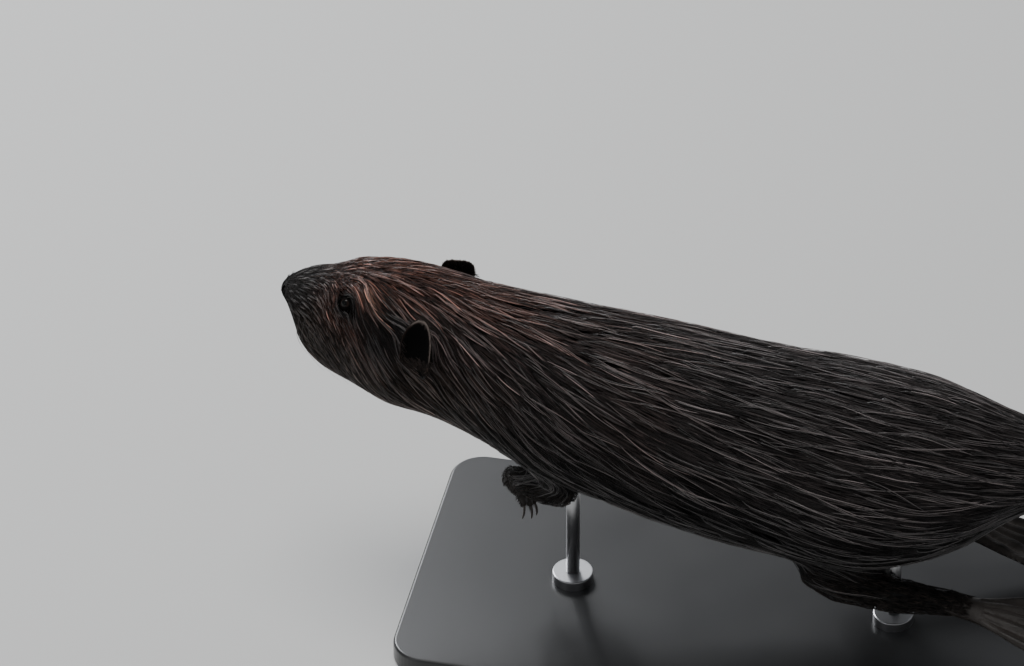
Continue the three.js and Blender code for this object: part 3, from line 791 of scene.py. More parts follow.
# Under the locks the hide is fine short fur, combed along the body. Where it is bare it is leathery,
# with a fine cobbled grain.
hide_finish, tree, surface = shader("damp hide", MUZZLE, 0.45, Specular_IOR_Level=0.3)
hairs = noise(tree, 1.0, 4.0, (90, 520, 520))
cobbles = add_node(tree, "ShaderNodeTexVoronoi", {"Vector": own_places(tree), "Scale": 520.0})
grained = {0: cobbles.outputs["Distance"], 1: 0.3, 2: noise(tree, 1400.0, 3.0)}
cobbled = add_node(tree, "ShaderNodeMath", grained, operation="MULTIPLY_ADD")
shallow = add_node(tree, "ShaderNodeMath", {0: cobbled.outputs[0], 1: 0.45}, operation="MULTIPLY")
height = add_node(tree, "ShaderNodeMix", {0: stored(tree, "bare"), 2: hairs, 3: shallow.outputs[0]})
raised(tree, surface, height.outputs[0], 0.9 * MM, 0.7)
mottled(tree, surface, 60.0, 5.0, 0.7, 1.3)


def new_piece(mesh, finish, smooth=True):
    """A piece of the model, riding on the still body, with its finish."""
    mesh.materials.clear()
    mesh.materials.append(finish)
    mesh.polygons.foreach_set("use_smooth", [smooth] * len(mesh.polygons))
    piece = set_out(mesh.name, mesh)
    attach(piece, "root")
    return piece


# The unwrap of the skin's own shape, on which every tuft of the coat has its small patch.
unwrapped = skin_mesh.copy()
holder = set_out("unwrapping", unwrapped)
bpy.context.view_layer.objects.active = holder
holder.select_set(True)
bpy.ops.object.mode_set(mode="EDIT")
bpy.ops.mesh.select_all(action="SELECT")
bpy.ops.uv.smart_project(angle_limit=math.radians(66), island_margin=0.003)
bpy.ops.object.mode_set(mode="OBJECT")
bpy.data.objects.remove(holder)
skin_corners = triangles_of(unwrapped)
unwrap = np.empty(len(unwrapped.loops) * 2, np.float32)
unwrapped.uv_layers.active.uv.foreach_get("vector", unwrap)
unwrap = unwrap.reshape(-1, 3, 2)
skin_tree = BVHTree.FromPolygons(skin_at.tolist(), skin_corners.tolist())


def on_skin(points):
    """The nearest places on the skin, the way out of it there, and those places on its unwrap."""
    landed, outward, triangle, _ = landing(skin_tree, points)
    weights = corner_weights(landed, skin_at[skin_corners[triangle]])
    return landed, outward, (unwrap[triangle] * weights[..., None]).sum(1)


skin = new_piece(skin_mesh, hide_finish)
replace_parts(skin, *FURRED, *BARE)

# The nose, the ears and the rims of the eyes are dull and dark, the eye rims with painted shade too, and
# the ears' hollows are painted black as shade.
dull = hide_finish.copy()
dull.name = "dull dark skin"
dull_surface = dull.node_tree.nodes["Principled BSDF"]
dull_surface.inputs["Specular IOR Level"].default_value = 0.06
dull_surface.inputs["Roughness"].default_value = 0.7
skin_mesh.materials.append(dull)
at_ear_or_eye = (distance_to(ear_nodes, skin_at) < 4 * MM) | (from_skin_eye < 11 * MM)
at_ear_or_eye |= from_nose_pad(skin_at)[0] < 2 * MM
face_dull = at_ear_or_eye[np.array([p.vertices[0] for p in skin_mesh.polygons])]
skin_mesh.polygons.foreach_set("material_index", face_dull.astype(np.int32))

# ---- The eyes ----------------------------------------------------------------------------------
# Two glass eyes of a taxidermist's make: near-black brown, with a darker pupil and a clear front.
glass, tree, surface = shader("eye glass", (0.012, 0.007, 0.005), 0.08, IOR=1.38, Specular_IOR_Level=0.35)
PUPIL, IRIS, IRIS_RIM = (0.001, 0.001, 0.001), (0.016, 0.008, 0.005), (0.004, 0.003, 0.003)
iris = ramp(tree, stored(tree, "gaze"), (0.25, PUPIL), (0.42, IRIS), (0.9, IRIS_RIM))
tree.links.new(iris, surface.inputs["Base Color"])
raised(tree, surface, noise(tree, 700.0), 0.02 * MM, 0.1)
for side, at in eyes_at.items():
    outward = eye_axes(at)[2]
    bm = bmesh.new()
    bmesh.ops.create_uvsphere(bm, u_segments=36, v_segments=24, radius=EYE_RADIUS)
    turn = Vector((0, 0, 1)).rotation_difference(Vector(outward)).to_matrix().to_4x4()
    angles = []
    for vert in bm.verts:
        angle = vert.co.angle(Vector((0, 0, 1)))
        vert.co *= 1 + 0.05 * math.exp(-((angle / 0.5) ** 2))
        angles.append(angle / (math.pi / 2))
    bmesh.ops.transform(bm, matrix=Matrix.Translation(at) @ turn, verts=bm.verts)
    eye_mesh = closed(bm, "eyeball_" + side)
    store(eye_mesh, "gaze", np.array(angles))
    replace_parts(new_piece(eye_mesh, glass), "eye_" + side)

# ---- The claws ---------------------------------------------------------------------------------
# Twenty blunt claws of dark horn, one on each toe, set into the skin at their roots.
horn, tree, surface = shader("claw horn", (0.022, 0.016, 0.012), 0.34)
growth = noise(tree, 5.0, 3.0, (200, 900, 300))
horn_tone = ramp(tree, growth, (0.35, (0.012, 0.009, 0.007)), (0.7, (0.060, 0.044, 0.032)))
tree.links.new(horn_tone, surface.inputs["Base Color"])
raised(tree, surface, growth, 0.2 * MM, 0.5)
CLAW_SWELL = 0.55 * MM  # keeps a claw's size while its facets are rounded off
for node in sorted(n for n in nodes if n.startswith("claw_")):
    claw_mesh = merged_copy(node, CLAW_SWELL)
    bm = opened(claw_mesh)
    bmesh.ops.join_triangles(
        bm, faces=bm.faces, angle_face_threshold=0.7, angle_shape_threshold=0.9, cmp_seam=False,
        cmp_sharp=False, cmp_uvs=False, cmp_vcols=False, cmp_materials=False)
    claw_mesh = evaluated(closed(bm, claw_mesh), ("SUBSURF", {"levels": 2, "render_levels": 2}))
    claw_mesh.name = node.replace("claw", "horn")
    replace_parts(new_piece(claw_mesh, horn), node)

# ---- The tail's scales -------------------------------------------------------------------------
# The flat tail is bare and covered above and below with small horny hexagonal plates in staggered
# rows across it. Each one is a low dome set on the tail's skin.
SCALE_PITCH = 5.4 * MM  # across the tail
ROW_PITCH = 4.5 * MM  # along it
SCALE_HEIGHT = 0.55 * MM
EDGE = 5.0 * MM  # the tail's smooth edge, clear of plates
ROWS_FROM = 6 * MM  # where the first row stands, behind the end of the fur
PLATE_SUNK = 0.15 * MM
low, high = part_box("tail_blade")
skin_search = BVHTree.FromObject(skin, bpy.context.evaluated_depsgraph_get())
seats, facings = [], []
for row in range(int((high.x - low.x - ROWS_FROM) / ROW_PITCH)):
    x = low.x + ROWS_FROM + row * ROW_PITCH
    for column in range(int((high.y - low.y) / SCALE_PITCH) + 2):
        y = low.y + (column + 0.5 * (row % 2)) * SCALE_PITCH
        for start, way in ((high.z + 0.1, -1), (low.z - 0.1, 1)):
            seat, facing, _, _ = skin_search.ray_cast(Vector((x, y, start)), Vector((0, 0, way)))
            around = ((1, 0), (0, 1), (0, -1), (0.7, 0.7), (0.7, -0.7))
            corners = [(x + a * EDGE, y + b * EDGE) for a, b in around]
            inside = all(skin_search.ray_cast(Vector((*c, start)), Vector((0, 0, way)))[0] for c in corners)
            if inside and seat and facing.z * way < -0.8 and low.z - MM < seat.z < high.z + MM:
                seats.append(tuple(seat - facing * PLATE_SUNK))
                facings.append(facing)
seat_mesh = bpy.data.meshes.new("scale seats")
seat_mesh.from_pydata(seats, [], [])
facing_kept = seat_mesh.attributes.new("facing", "FLOAT_VECTOR", "POINT")
facing_kept.data.foreach_set("vector", np.array(facings, np.float32).ravel())

scale_horn, tree, surface = shader("tail scale", (0.030, 0.027, 0.026), 0.42, Specular_IOR_Level=0.45)
plate_noise = add_node(tree, "ShaderNodeTexVoronoi", {"Vector": own_places(tree), "Scale": 210.0})
tone = ramp(tree, plate_noise.outputs["Color"], (0, (0.016, 0.013, 0.012)), (1, (0.050, 0.045, 0.042)))
tree.links.new(tone, surface.inputs["Base Color"])
raised(tree, surface, noise(tree, 1500.0, 3.0), 0.15 * MM, 0.6)

scaling = bpy.data.node_groups.new("scales on the tail", "GeometryNodeTree")
sockets = {
    "Seats": ("NodeSocketGeometry", None), "Plate radius": ("NodeSocketFloat", 0.575 * SCALE_PITCH),
    "Plate height": ("NodeSocketFloat", SCALE_HEIGHT), "Seed": ("NodeSocketInt", 5),
    "Finish": ("NodeSocketMaterial", scale_horn),
}
made_sockets = {}
for name, (kind, _) in sockets.items():
    made_sockets[name] = scaling.interface.new_socket(name, in_out="INPUT", socket_type=kind)
scaling.interface.new_socket("Scales", in_out="OUTPUT", socket_type="NodeSocketGeometry")
given = add_node(scaling, "NodeGroupInput").outputs
narrow = add_node(scaling, "ShaderNodeMath", {0: given["Plate radius"], 1: 0.8}, operation="MULTIPLY")
plate = add_node(scaling, "GeometryNodeMeshCone", {
    "Vertices": 6, "Radius Top": narrow.outputs[0], "Radius Bottom": given["Plate radius"],
    "Depth": given["Plate height"],
})
facing = add_node(scaling, "GeometryNodeInputNamedAttribute", {"Name": "facing"}, data_type="FLOAT_VECTOR")
outwards_up = {"Vector": facing.outputs["Attribute"]}
upright = add_node(scaling, "FunctionNodeAlignRotationToVector", outwards_up, axis="Z")
across_tail = {"Rotation": upright.outputs[0], "Vector": (0, 1, 0)}
aligned = add_node(scaling, "FunctionNodeAlignRotationToVector", across_tail, axis="X", pivot_axis="Z")
sizes = {"Min": (0.9, 0.82, 0.7), "Max": (1.0, 0.94, 1.4), "Seed": given["Seed"]}
size = add_node(scaling, "FunctionNodeRandomValue", sizes, data_type="FLOAT_VECTOR")
laid = add_node(scaling, "GeometryNodeInstanceOnPoints", {
    "Points": given["Seats"], "Instance": plate.outputs["Mesh"], "Rotation": aligned.outputs[0],
    "Scale": size.outputs["Value"],
})
real = add_node(scaling, "GeometryNodeRealizeInstances", {"Geometry": laid.outputs[0]})
in_horn = {"Geometry": real.outputs[0], "Material": given["Finish"]}
finished = add_node(scaling, "GeometryNodeSetMaterial", in_horn)
add_node(scaling, "NodeGroupOutput", {"Scales": finished.outputs[0]})

holder = set_out("scale seats", seat_mesh)
modifier = holder.modifiers.new("scales", "NODES")
modifier.node_group = scaling
for name, (_, value) in sockets.items():
    if value is not None:
        modifier[made_sockets[name].identifier] = value
graph = bpy.context.evaluated_depsgraph_get()
scale_mesh = bpy.data.meshes.new_from_object(holder.evaluated_get(graph))
bpy.data.objects.remove(holder)
scale_mesh.name = "tail_plates"
new_piece(scale_mesh, scale_horn, smooth=False)

# ---- The stand ---------------------------------------------------------------------------------
# A flat wooden base with rounded corners in black satin lacquer, and two brushed steel rods that
# stand in turned collars and go up into the body.
BLACK = (0.018, 0.018, 0.019)
lacquer, tree, surface = shader("satin lacquer", BLACK, 0.3, Coat_Weight=0.3, Coat_Roughness=0.25)
raised(tree, surface, noise(tree, 5.0, 4.0, (40, 400, 400)), 0.08 * MM, 0.35)
tree.links.new(ranged(tree, noise(tree, 14.0, 4.0), 0.26, 0.38), surface.inputs["Roughness"])
low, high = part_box("stand_base")
CORNER = 30 * MM
CORNER_STEPS = 12
EASED_EDGE = 2.5 * MM
bm = bmesh.new()
outline = []
for turn, (x, y) in enumerate(((high.x, high.y), (low.x, high.y), (low.x, low.y), (high.x, low.y))):
    centre = Vector((x - math.copysign(CORNER, x - (low.x + high.x) / 2),
                     y - math.copysign(CORNER, y - (low.y + high.y) / 2), low.z))
    for step in range(CORNER_STEPS + 1):
        angle = (turn + step / CORNER_STEPS) * math.pi / 2
        outline.append(bm.verts.new(centre + CORNER * Vector((math.cos(angle), math.sin(angle), 0))))
floor_face = bm.faces.new(outline)
lifted = bmesh.ops.extrude_face_region(bm, geom=[floor_face])["geom"]
upper_verts = [g for g in lifted if isinstance(g, bmesh.types.BMVert)]
bmesh.ops.translate(bm, vec=(0, 0, high.z - low.z), verts=upper_verts)
bmesh.ops.recalc_face_normals(bm, faces=bm.faces)
rims = [e for e in bm.edges if abs(e.verts[0].co.z - e.verts[1].co.z) < 1e-6]
bmesh.ops.bevel(bm, geom=rims, offset=EASED_EDGE, segments=4, profile=0.5, affect="EDGES")
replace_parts(new_piece(closed(bm, "base"), lacquer, smooth=False), "stand_base")

steel, tree, surface = shader("brushed steel", (0.55, 0.55, 0.56), 0.32, Metallic=1.0)
raised(tree, surface, noise(tree, 5.0, 2.0, (60, 60, 4000)), 0.03 * MM, 0.3)


def tube(bm, rings):
    """Adds a closed tube through rings of places."""
    rings = [[bm.verts.new(place) for place in ring] for ring in rings]
    for lower, higher in zip(rings, rings[1:]):
        for step in range(len(lower)):
            after = (step + 1) % len(lower)
            bm.faces.new((lower[step], lower[after], higher[after], higher[step]))
    bm.faces.new(rings[0][::-1])
    bm.faces.new(rings[-1])


def turned(name, profile, centre, sides=40):
    """A round piece on an upright axis, from (radius, height) pairs of its half outline."""
    angles = [2 * math.pi * step / sides for step in range(sides)]
    bm = bmesh.new()
    tube(bm, [[(centre.x + radius * math.cos(a), centre.y + radius * math.sin(a), height) for a in angles]
              for radius, height in profile])
    return closed(bm, name)


INTO_BODY = 9 * MM  # how far a rod goes on above the coat's outer form, into the body
EASE = MM  # a collar's rounded edge
for place in ("front", "rear"):
    low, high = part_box("stand_rod_" + place)
    radius, centre = (high.x - low.x) / 2, (low + high) / 2
    rod = turned("rod_" + place, [(radius, low.z), (radius, high.z + INTO_BODY)], centre)
    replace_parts(new_piece(rod, steel), "stand_rod_" + place)
    low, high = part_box("stand_collar_" + place)
    radius = (high.x - low.x) / 2
    profile = [(radius, low.z), (radius, high.z - EASE), (radius - 0.3 * EASE, high.z - 0.3 * EASE),
               (radius - EASE, high.z), (radius * 0.35, high.z)]
    collar = turned("collar_" + place, profile, centre, 64)
    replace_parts(new_piece(collar, steel, smooth=False), "stand_collar_" + place)

# ---- The coat ----------------------------------------------------------------------------------
# Wet guard hair, drawn back by the water into long thin locks that overlap like thatch. Each lock is
# a closed, three-sided strand. Strands share a guide that is combed over the outer form, and draw
# together towards its end; they rise from the skin at their roots and lie flat from there on.
draw = np.random.default_rng(11)
DOWN = np.array([0.0, 0, -1])


def along_form(vectors, outward):
    return vectors - (vectors * outward).sum(-1, keepdims=True) * outward


# The lie of the coat: back along the body from the nose, and down the sides, most on the cheeks. On
# the legs it runs towards the paws and feet.
bins = np.linspace(form_at[:, 0].min(), form_at[:, 0].max(), 30)
slot_of = np.digitize(form_at[:, 0], bins)
on_body = limb_share < 0.3
slices = [form_at[(slot_of == k) & on_body, 1] for k in range(1, len(bins))]
line_y = np.array([np.mean([ys.min(), ys.max()]) for ys in slices])
smooth_line = np.convolve(np.pad(line_y, 3, "edge"), np.ones(7) / 7, "valid")
turn_of_line = np.gradient(smooth_line, bins[1] - bins[0])
lie = np.ones((len(form_at), 3)) * (1, 0, 0)
lie[:, 1] = np.interp(form_at[:, 0], (bins[1:] + bins[:-1]) / 2, turn_of_line)
FALL_STOPS = [0, 40, 110, 150, 200, 300, 450, 640]  # mm behind the nose
FALLS = [0.8, 1.3, 1.35, 1.15, 0.85, 0.55, 0.3, 0.05]
fall = np.interp(behind / MM, FALL_STOPS, FALLS)
lie += fall[:, None] * along_form(DOWN[None], form_out)
lie = unit(along_form(lie, form_out))
from_nose = unit(along_form(form_at - (nose_at + (-4 * MM, 0, 2 * MM)), form_out))
lie = drawn_to(lie, from_nose, 1 - mm_step(behind, 18, 52))
for side in ("left", "right"):
    ends = {"foreleg": middle("forepaw_" + side), "shank": middle("hindfoot_" + side),
            "thigh": middle("shank_" + side) + (40 * MM, 0, -20 * MM)}
    for limb, end in ends.items():
        leg_lie = unit(along_form(end - form_at, form_out))
        lie = drawn_to(lie, leg_lie, stepped(share[f"{limb}_{side}"], 0.1, 0.8))
lie = unit(along_form(settle(lie, form, 10), form_out))
for route in brow_lines.values():
    nearest = np.linalg.norm(form_at[:, None] - route[None], axis=2)
    way = unit(np.gradient(route, axis=0))[nearest.argmin(1)]
    lie = drawn_to(lie, way, np.exp(-((nearest.min(1) / (7 * MM)) ** 2)))
lie = unit(along_form(settle(lie, form, 2), form_out))


ears_at = {side: middle("ear_" + side) for side in ("left", "right")}


def round_things(points, outward, flow):
    """Parts the flow round the eyes and the ears, as water parts round a post."""
    for posts, radius in ((eyes_at, 7 * MM), (ears_at, 12 * MM)):
        for at in posts.values():
            spoke = along_form(points - at, outward)
            far = np.maximum(np.linalg.norm(spoke, axis=1, keepdims=True), radius)
            spoke = unit(spoke)
            close = 1 - stepped(gap_to(at, points), 1.5 * radius, 4 * radius)[:, None]
            mirrored = 2 * (flow * spoke).sum(1, keepdims=True) * spoke - flow
            flow = flow - close * (radius / far) ** 2 * mirrored
    return unit(along_form(flow, outward))


def comb(roots, lengths, turned_by, sway, steps=8):
    """Lays a guide from each root over the form. Gives the places, outward directions and depths."""
    at, triangle, weights = on_form(roots)
    rows = []
    for step in range(steps + 1):
        outward = unit(felt(form_out, triangle, weights))
        rows.append((at, outward, felt(depth, triangle, weights)))
        flow = round_things(at, outward, unit(felt(lie, triangle, weights)))
        angle = (turned_by + sway[:, 0] * np.sin(sway[:, 1] + sway[:, 2] * step / steps))[:, None]
        flow = flow * np.cos(angle) + np.cross(outward, flow) * np.sin(angle)
        at, triangle, weights = on_form(at + flow * (lengths / steps)[:, None])
    return [np.stack(column, 1) for column in zip(*rows)]


def solid_mesh(name, points, corners, tints, patches):
    """A mesh of triangles from arrays, with a colour for each point and a map for each corner."""
    mesh = bpy.data.meshes.new(name)
    mesh.vertices.add(len(points))
    mesh.vertices.foreach_set("co", points.ravel())
    mesh.loops.add(corners.size)
    mesh.loops.foreach_set("vertex_index", corners.ravel())
    mesh.polygons.add(len(corners))
    mesh.polygons.foreach_set("loop_start", np.arange(len(corners)) * 3)
    mesh.update(calc_edges=True)
    store(mesh, "tint", tints)
    patch_map = mesh.uv_layers.new(name="OFBake")
    patch_map.uv.foreach_set("vector", patches[corners.ravel()].ravel().astype(np.float32))
    return mesh


PATCH = 0.003  # how wide a tuft's patch is on the unwrap
PAINTED_GLINT_GREY = (0.031, 0.0285, 0.028)  # the grey of the painted glint that a glossy lock adds to the coat's colour
# the strongest painted glint a strand may carry
BRIGHTEST = 3.0
STARTS, ENDS = (0, 0.3), (0.72, 1.0)  # where strands begin and end, of their guide
STOUT = (0.75, 1.25)
OWN_TONE = (-0.3, 0.62)  # how much strands differ in tone, and in painted glint
OWN_GLINT = (-0.25, 0.6)
CURL = 0.12


def strands(name, guides, count, bundle, width, rings, levels, glint, gather=0.6, uneven=0.06):
    """One coat piece: count strands along each guide, in a bundle so wide, gathering to its end."""
    at, outward, deep = guides
    number = len(at)
    steps = at.shape[1] - 1
    side = unit(np.cross(outward, np.gradient(at, axis=1)))
    guide = np.repeat(np.arange(number), count)
    total = len(guide)
    place = (np.tile(np.arange(count), number) + draw.uniform(0.1, 0.9, total)) / count - 0.5
    late = draw.uniform(*STARTS, total)
    long = draw.uniform(*ENDS, total)
    level = np.repeat(draw.uniform(*levels, number), count) + draw.normal(0, uneven, total)
    level = np.clip(level, 0.25, 0.97)
    stout = draw.uniform(*STOUT, total)
    t = np.linspace(0, 1, rings + 1)[None] ** 0.9
    along = (late[:, None] + (long - late)[:, None] * t) * steps
    lower = np.minimum(along.astype(int), steps - 1)
    part_way = (along - lower)[..., None]
    row = guide[:, None]

    def on_guide(values):
        return values[row, lower] * (1 - part_way) + values[row, lower + 1] * part_way

    bundle_of = np.broadcast_to(bundle, (number,))[guide]
    width_of = np.broadcast_to(width, (number,))[guide]
    curl = CURL * np.sin(draw.uniform(0, 6.3, total)[:, None] + draw.uniform(2, 5, total)[:, None] * t)
    spread_out = (place[:, None] * (1 - gather * t ** 1.3) + curl * (0.3 + t)) * bundle_of[:, None]
    up, aside, deep_here = unit(on_guide(outward)), unit(on_guide(side)), on_guide(deep[..., None])[..., 0]
    rise = stepped(t, 0, 0.3) * level[:, None] * (1 - 0.16 * t ** 4)
    over_shallow = 0.5 * MM * t * (1 - stepped(deep_here, 0, 1.5 * MM))
    sunk = deep_here * (1 - rise) + (t < 0.01) * 0.8 * MM - over_shallow
    line = on_guide(at) + aside * spread_out[..., None] - up * sunk[..., None]
    wide = width_of[:, None] * stout[:, None] * (0.6 + 0.9 * t - 1.05 * t**2)
    _, triangle, weights = on_form(line[:, 0])
    own = felt(coat_tint, triangle, weights) * draw.lognormal(*OWN_TONE, total)[:, None]
    # Each strand's tint is lightened and greyed by its painted glint, a highlight set into its colour.
    strand_glint = np.minimum(glint * draw.lognormal(*OWN_GLINT, total), BRIGHTEST)[:, None]
    own = own * (1 + 1.9 * strand_glint) + strand_glint * np.array(PAINTED_GLINT_GREY)
    return strand_mesh(name, line, wide, aside, up, own)


def strand_mesh(name, line, wide, aside, up, own):
    """Closed three-sided strands along lines, (strands, rings + 1, 3), that end in points."""
    total, rings = len(line), line.shape[1] - 1
    half = 0.5 * wide[..., None] * aside
    crest = 0.4 * wide[..., None] * up
    body = np.stack([line - half, line + crest, line + half], 2)[:, :rings]
    points = np.concatenate([body.reshape(total, rings * 3, 3), line[:, rings:]], 1)
    each = rings * 3 + 1
    faces = [(0, 1, 2)]
    for ring in range(rings - 1):
        for k in range(3):
            a, b = ring * 3 + k, ring * 3 + (k + 1) % 3
            faces += [(a, a + 3, b), (b, a + 3, b + 3)]
    last = (rings - 1) * 3
    faces += [(last + k, each - 1, last + (k + 1) % 3) for k in range(3)]
    corners = (np.arange(total)[:, None, None] * each + np.array(faces)[None]).reshape(-1, 3)
    t = np.linspace(0, 1, rings + 1)
    # Each strand is painted darker towards its root, as shade between the strands.
    root_shade = np.append(np.repeat(0.12 + 1.0 * stepped(t[:rings], 0, 0.6), 3), 0.8)
    tints = own[:, None] * root_shade[None, :, None]
    _, _, root_uv = on_skin(line[:, 0])
    shape = np.array([((k % 3) / 2 - 0.5, k // 3 / rings - 0.5) for k in range(each)]) * PATCH
    patches = root_uv[:, None] + shape[None]
    mesh = solid_mesh(name, points.reshape(-1, 3), corners, tints.reshape(-1, 3), patches.reshape(-1, 2))
    fibre = np.zeros((total, each, 3), np.float32)
    around = [k % 3 for k in range(each - 1)] + [1]
    fibre[..., 0] = np.array(around)[None] + draw.uniform(0, 90, total)[:, None]
    fibre[..., 1] = np.array([k // 3 for k in range(each)])[None] / rings
    mesh.attributes.new("fibre", "FLOAT_VECTOR", "POINT").data.foreach_set("vector", fibre.ravel())
    return mesh


def hair_finish(name, roughness, **sockets):
    """Hair in its own tint, a little mottled, with fine fibres along the body."""
    made, tree, surface = shader(name, BACK, roughness, **sockets)
    mottled(tree, surface, 45.0, 4.0, 0.65, 1.35)
    lengthwise = {"Vector": stored(tree, "fibre", "Vector"), "Scale": (2.6, 1.2, 1)}
    drawn_out = add_node(tree, "ShaderNodeMapping", lengthwise).outputs["Vector"]
    fibres = add_node(tree, "ShaderNodeTexNoise", {"Vector": drawn_out, "Scale": 1.0, "Detail": 2.0})
    raised(tree, surface, fibres.outputs["Fac"], 0.35 * MM, 0.8)
    return made


flat_hair = hair_finish("damp underlying hair", 0.5, Specular_IOR_Level=0.22)
wet_lock = hair_finish("wet glossy lock", 0.28, Specular_IOR_Level=0.6, Coat_Weight=0.5,
                       Coat_Roughness=0.12)


SCATTER = 0.3  # how far roots stray from an even spread, of their spacing
CLEAR_OF_BARE = 1.5 * MM
CLEAR_OF_EYES = 8 * MM


def evenly(spacing, keep):
    """Roots spread evenly over the form, a spacing apart, where keep says so."""
    cast = places(recast(form, spacing))
    landed, triangle, weights = on_form(cast + draw.normal(0, spacing * SCATTER, cast.shape))
    chosen = keep({
        "behind": landed[:, 0] - nose_front,
        "up": felt(form_out, triangle, weights)[:, 2],
        "limb": felt(limb_share, triangle, weights),
        "clear": np.minimum(felt(from_bare, triangle, weights) - CLEAR_OF_BARE,
                            felt(from_eye, triangle, weights) - CLEAR_OF_EYES),
    })
    return landed[chosen]


def grown(name, roots, length, count, bundle, width, rings, levels, slot, finish=flat_hair, wave=0.1,
          uneven_length=0.25, **more):
    """One coat piece, combed from its roots, with its lengths, waves and turns drawn at random."""
    number = len(roots)
    lengths = length * draw.uniform(1 - uneven_length, 1 + uneven_length, number)
    sway = np.stack([draw.uniform(0.2, 1, number) * wave, draw.uniform(0, 6.3, number),
                     draw.uniform(2, 7, number)], 1)
    guides = comb(roots, lengths, draw.normal(0, 0.05, number), sway)
    mesh = strands(name, guides, count, bundle, width, rings, levels, **more)
    return new_piece(mesh, finish)


def between(low, high, limb=0.4):
    """Keeps the roots on the body from low to high behind the nose, clear of what is bare."""
    return lambda p: (p["limb"] < limb) & (p["clear"] > 0) & (p["behind"] > low) & (p["behind"] <= high)


FLAT = (0.5, 0.72)  # how far out of the coat's depth the underlying hair lies
PROUD = (0.88, 0.96)  # and the glossy locks
LARGEST = 150000  # triangles in a piece of the coat
body = between(250 * MM, 650 * MM)
for name, spacing, keep, length, count, bundle, width, rings, slot in (
    ("coat_face", 2.5, between(-5 * MM, 72 * MM), 10, 2, 2.2, 0.62, 3, "head_fur"),
    ("coat_head", 4.2, between(60 * MM, 178 * MM), 34, 3, 3.8, 0.9, 4, "head_fur"),
    ("coat_neck", 6.2, between(170 * MM, 262 * MM), 52, 5, 5.6, 1.05, 4, "head_fur"),
    ("coat_back", 8.2, lambda p: body(p) & (p["up"] > 0), 80, 6, 7.8, 1.25, 4, "body_fur"),
    ("coat_belly", 10.0, lambda p: body(p) & (p["up"] <= 0), 62, 5, 9.3, 1.6, 4, "body_fur"),
    ("coat_rump", 6.0, between(645 * MM, 705 * MM), 40, 5, 5.5, 1.0, 4, "body_fur"),
    ("coat_legs", 5.4, lambda p: (p["limb"] >= 0.4) & (p["clear"] > 0), 19, 3, 4.6, 0.9, 3, "body_fur"),
):
    roots = evenly(spacing * MM, keep)
    lots = math.ceil(len(roots) * count * (6 * rings - 2) / LARGEST)
    for number, lot in enumerate(np.array_split(roots[np.argsort(roots[:, 0])], lots), 1):
        grown(f"{name}_{number}" if lots > 1 else name, lot, length * MM, count, bundle * MM, width * MM,
              rings, FLAT, slot, glint=0.14)

# Over it lie the long glossy locks, where the water has drawn the guard hair together.
for name, spacing, reach, length, count, bundle, width, rings, glint in (
    ("locks_face", 6.0, (8, 75), 17, 2, 1.6, 0.65, 4, 0.9),
    ("locks_head", 10.0, (60, 185), 58, 2, 2.6, 0.8, 7, 1.45),
    ("locks_neck", 13.5, (180, 270), 88, 2, 3.6, 0.85, 8, 1.3),
    ("locks_body", 17.5, (262, 690), 100, 2, 4.4, 0.85, 9, 1.65),
):
    roots = evenly(spacing * MM, between(reach[0] * MM, reach[1] * MM, 0.08))
    grown(name, roots, length * MM, count, bundle * MM, width * MM, rings, PROUD,
          "head_fur" if reach[0] < 200 else "body_fur", wet_lock, 0.2, 0.5, gather=1.0, glint=glint,
          uneven=0.03)

# The locks of the brow, pale with a painted glint, run along its route, each over a stretch of it.
BROW_LOCKS = 15  # on a side
BROW_STEPS = 12
brow_guides = []
for route in brow_lines.values():
    for _ in range(BROW_LOCKS):
        first = draw.uniform(1, 12)
        stretch = np.linspace(first, first + draw.uniform(13, 20), BROW_STEPS + 1)
        brow_guides.append(interp_rows(stretch, range(ROUTE_POINTS), route) + draw.normal(0, 1.4 * MM, 3))
landed, triangle, weights = on_form(np.concatenate(brow_guides))
brow_rows = [landed, unit(felt(form_out, triangle, weights)), felt(depth, triangle, weights)]
brow_rows = [values.reshape(len(brow_guides), -1, *values.shape[1:]) for values in brow_rows]
brow_mesh = strands("locks_brow", brow_rows, 2, 0.8 * MM, 0.6 * MM, BROW_STEPS, (0.95, 0.97), glint=1.5,
                    gather=0.8, uneven=0.01)
new_piece(brow_mesh, wet_lock)


# Where the coat is shortest, tufts on the skin itself: round the nose, over the backs, rims and feet
# of the ears, and sparsely on the upper sides of the paws and feet.
TUFT_SUNK = 0.3 * MM


def tufts(name, roots, outward, way, length, width, tint, lift):
    """Short straight tufts from the skin, leaning along way and curving down to it."""
    number = len(roots)
    rings = 3
    way = unit(along_form(way + draw.normal(0, 0.15, way.shape), outward))
    reach = (length * draw.uniform(0.7, 1.2, number))[:, None, None]
    t = np.linspace(0, 1, rings + 1)[None, :, None]
    rise = lift * (1 - (1 - t) ** 2) - 0.5 * lift * t**2
    line = (roots - outward * TUFT_SUNK)[:, None] + reach * (t * way[:, None] + rise * outward[:, None])
    aside = np.broadcast_to(unit(np.cross(outward, way))[:, None], line.shape)
    up = np.broadcast_to(outward[:, None], line.shape)
    wide = width * draw.uniform(0.7, 1.2, number)[:, None] * (0.7 + 0.8 * t[..., 0] - t[..., 0] ** 2)
    own = np.array(tint) * draw.lognormal(0, 0.3, number)[:, None]
    new_piece(strand_mesh(name, line, wide, aside, up, own), flat_hair)


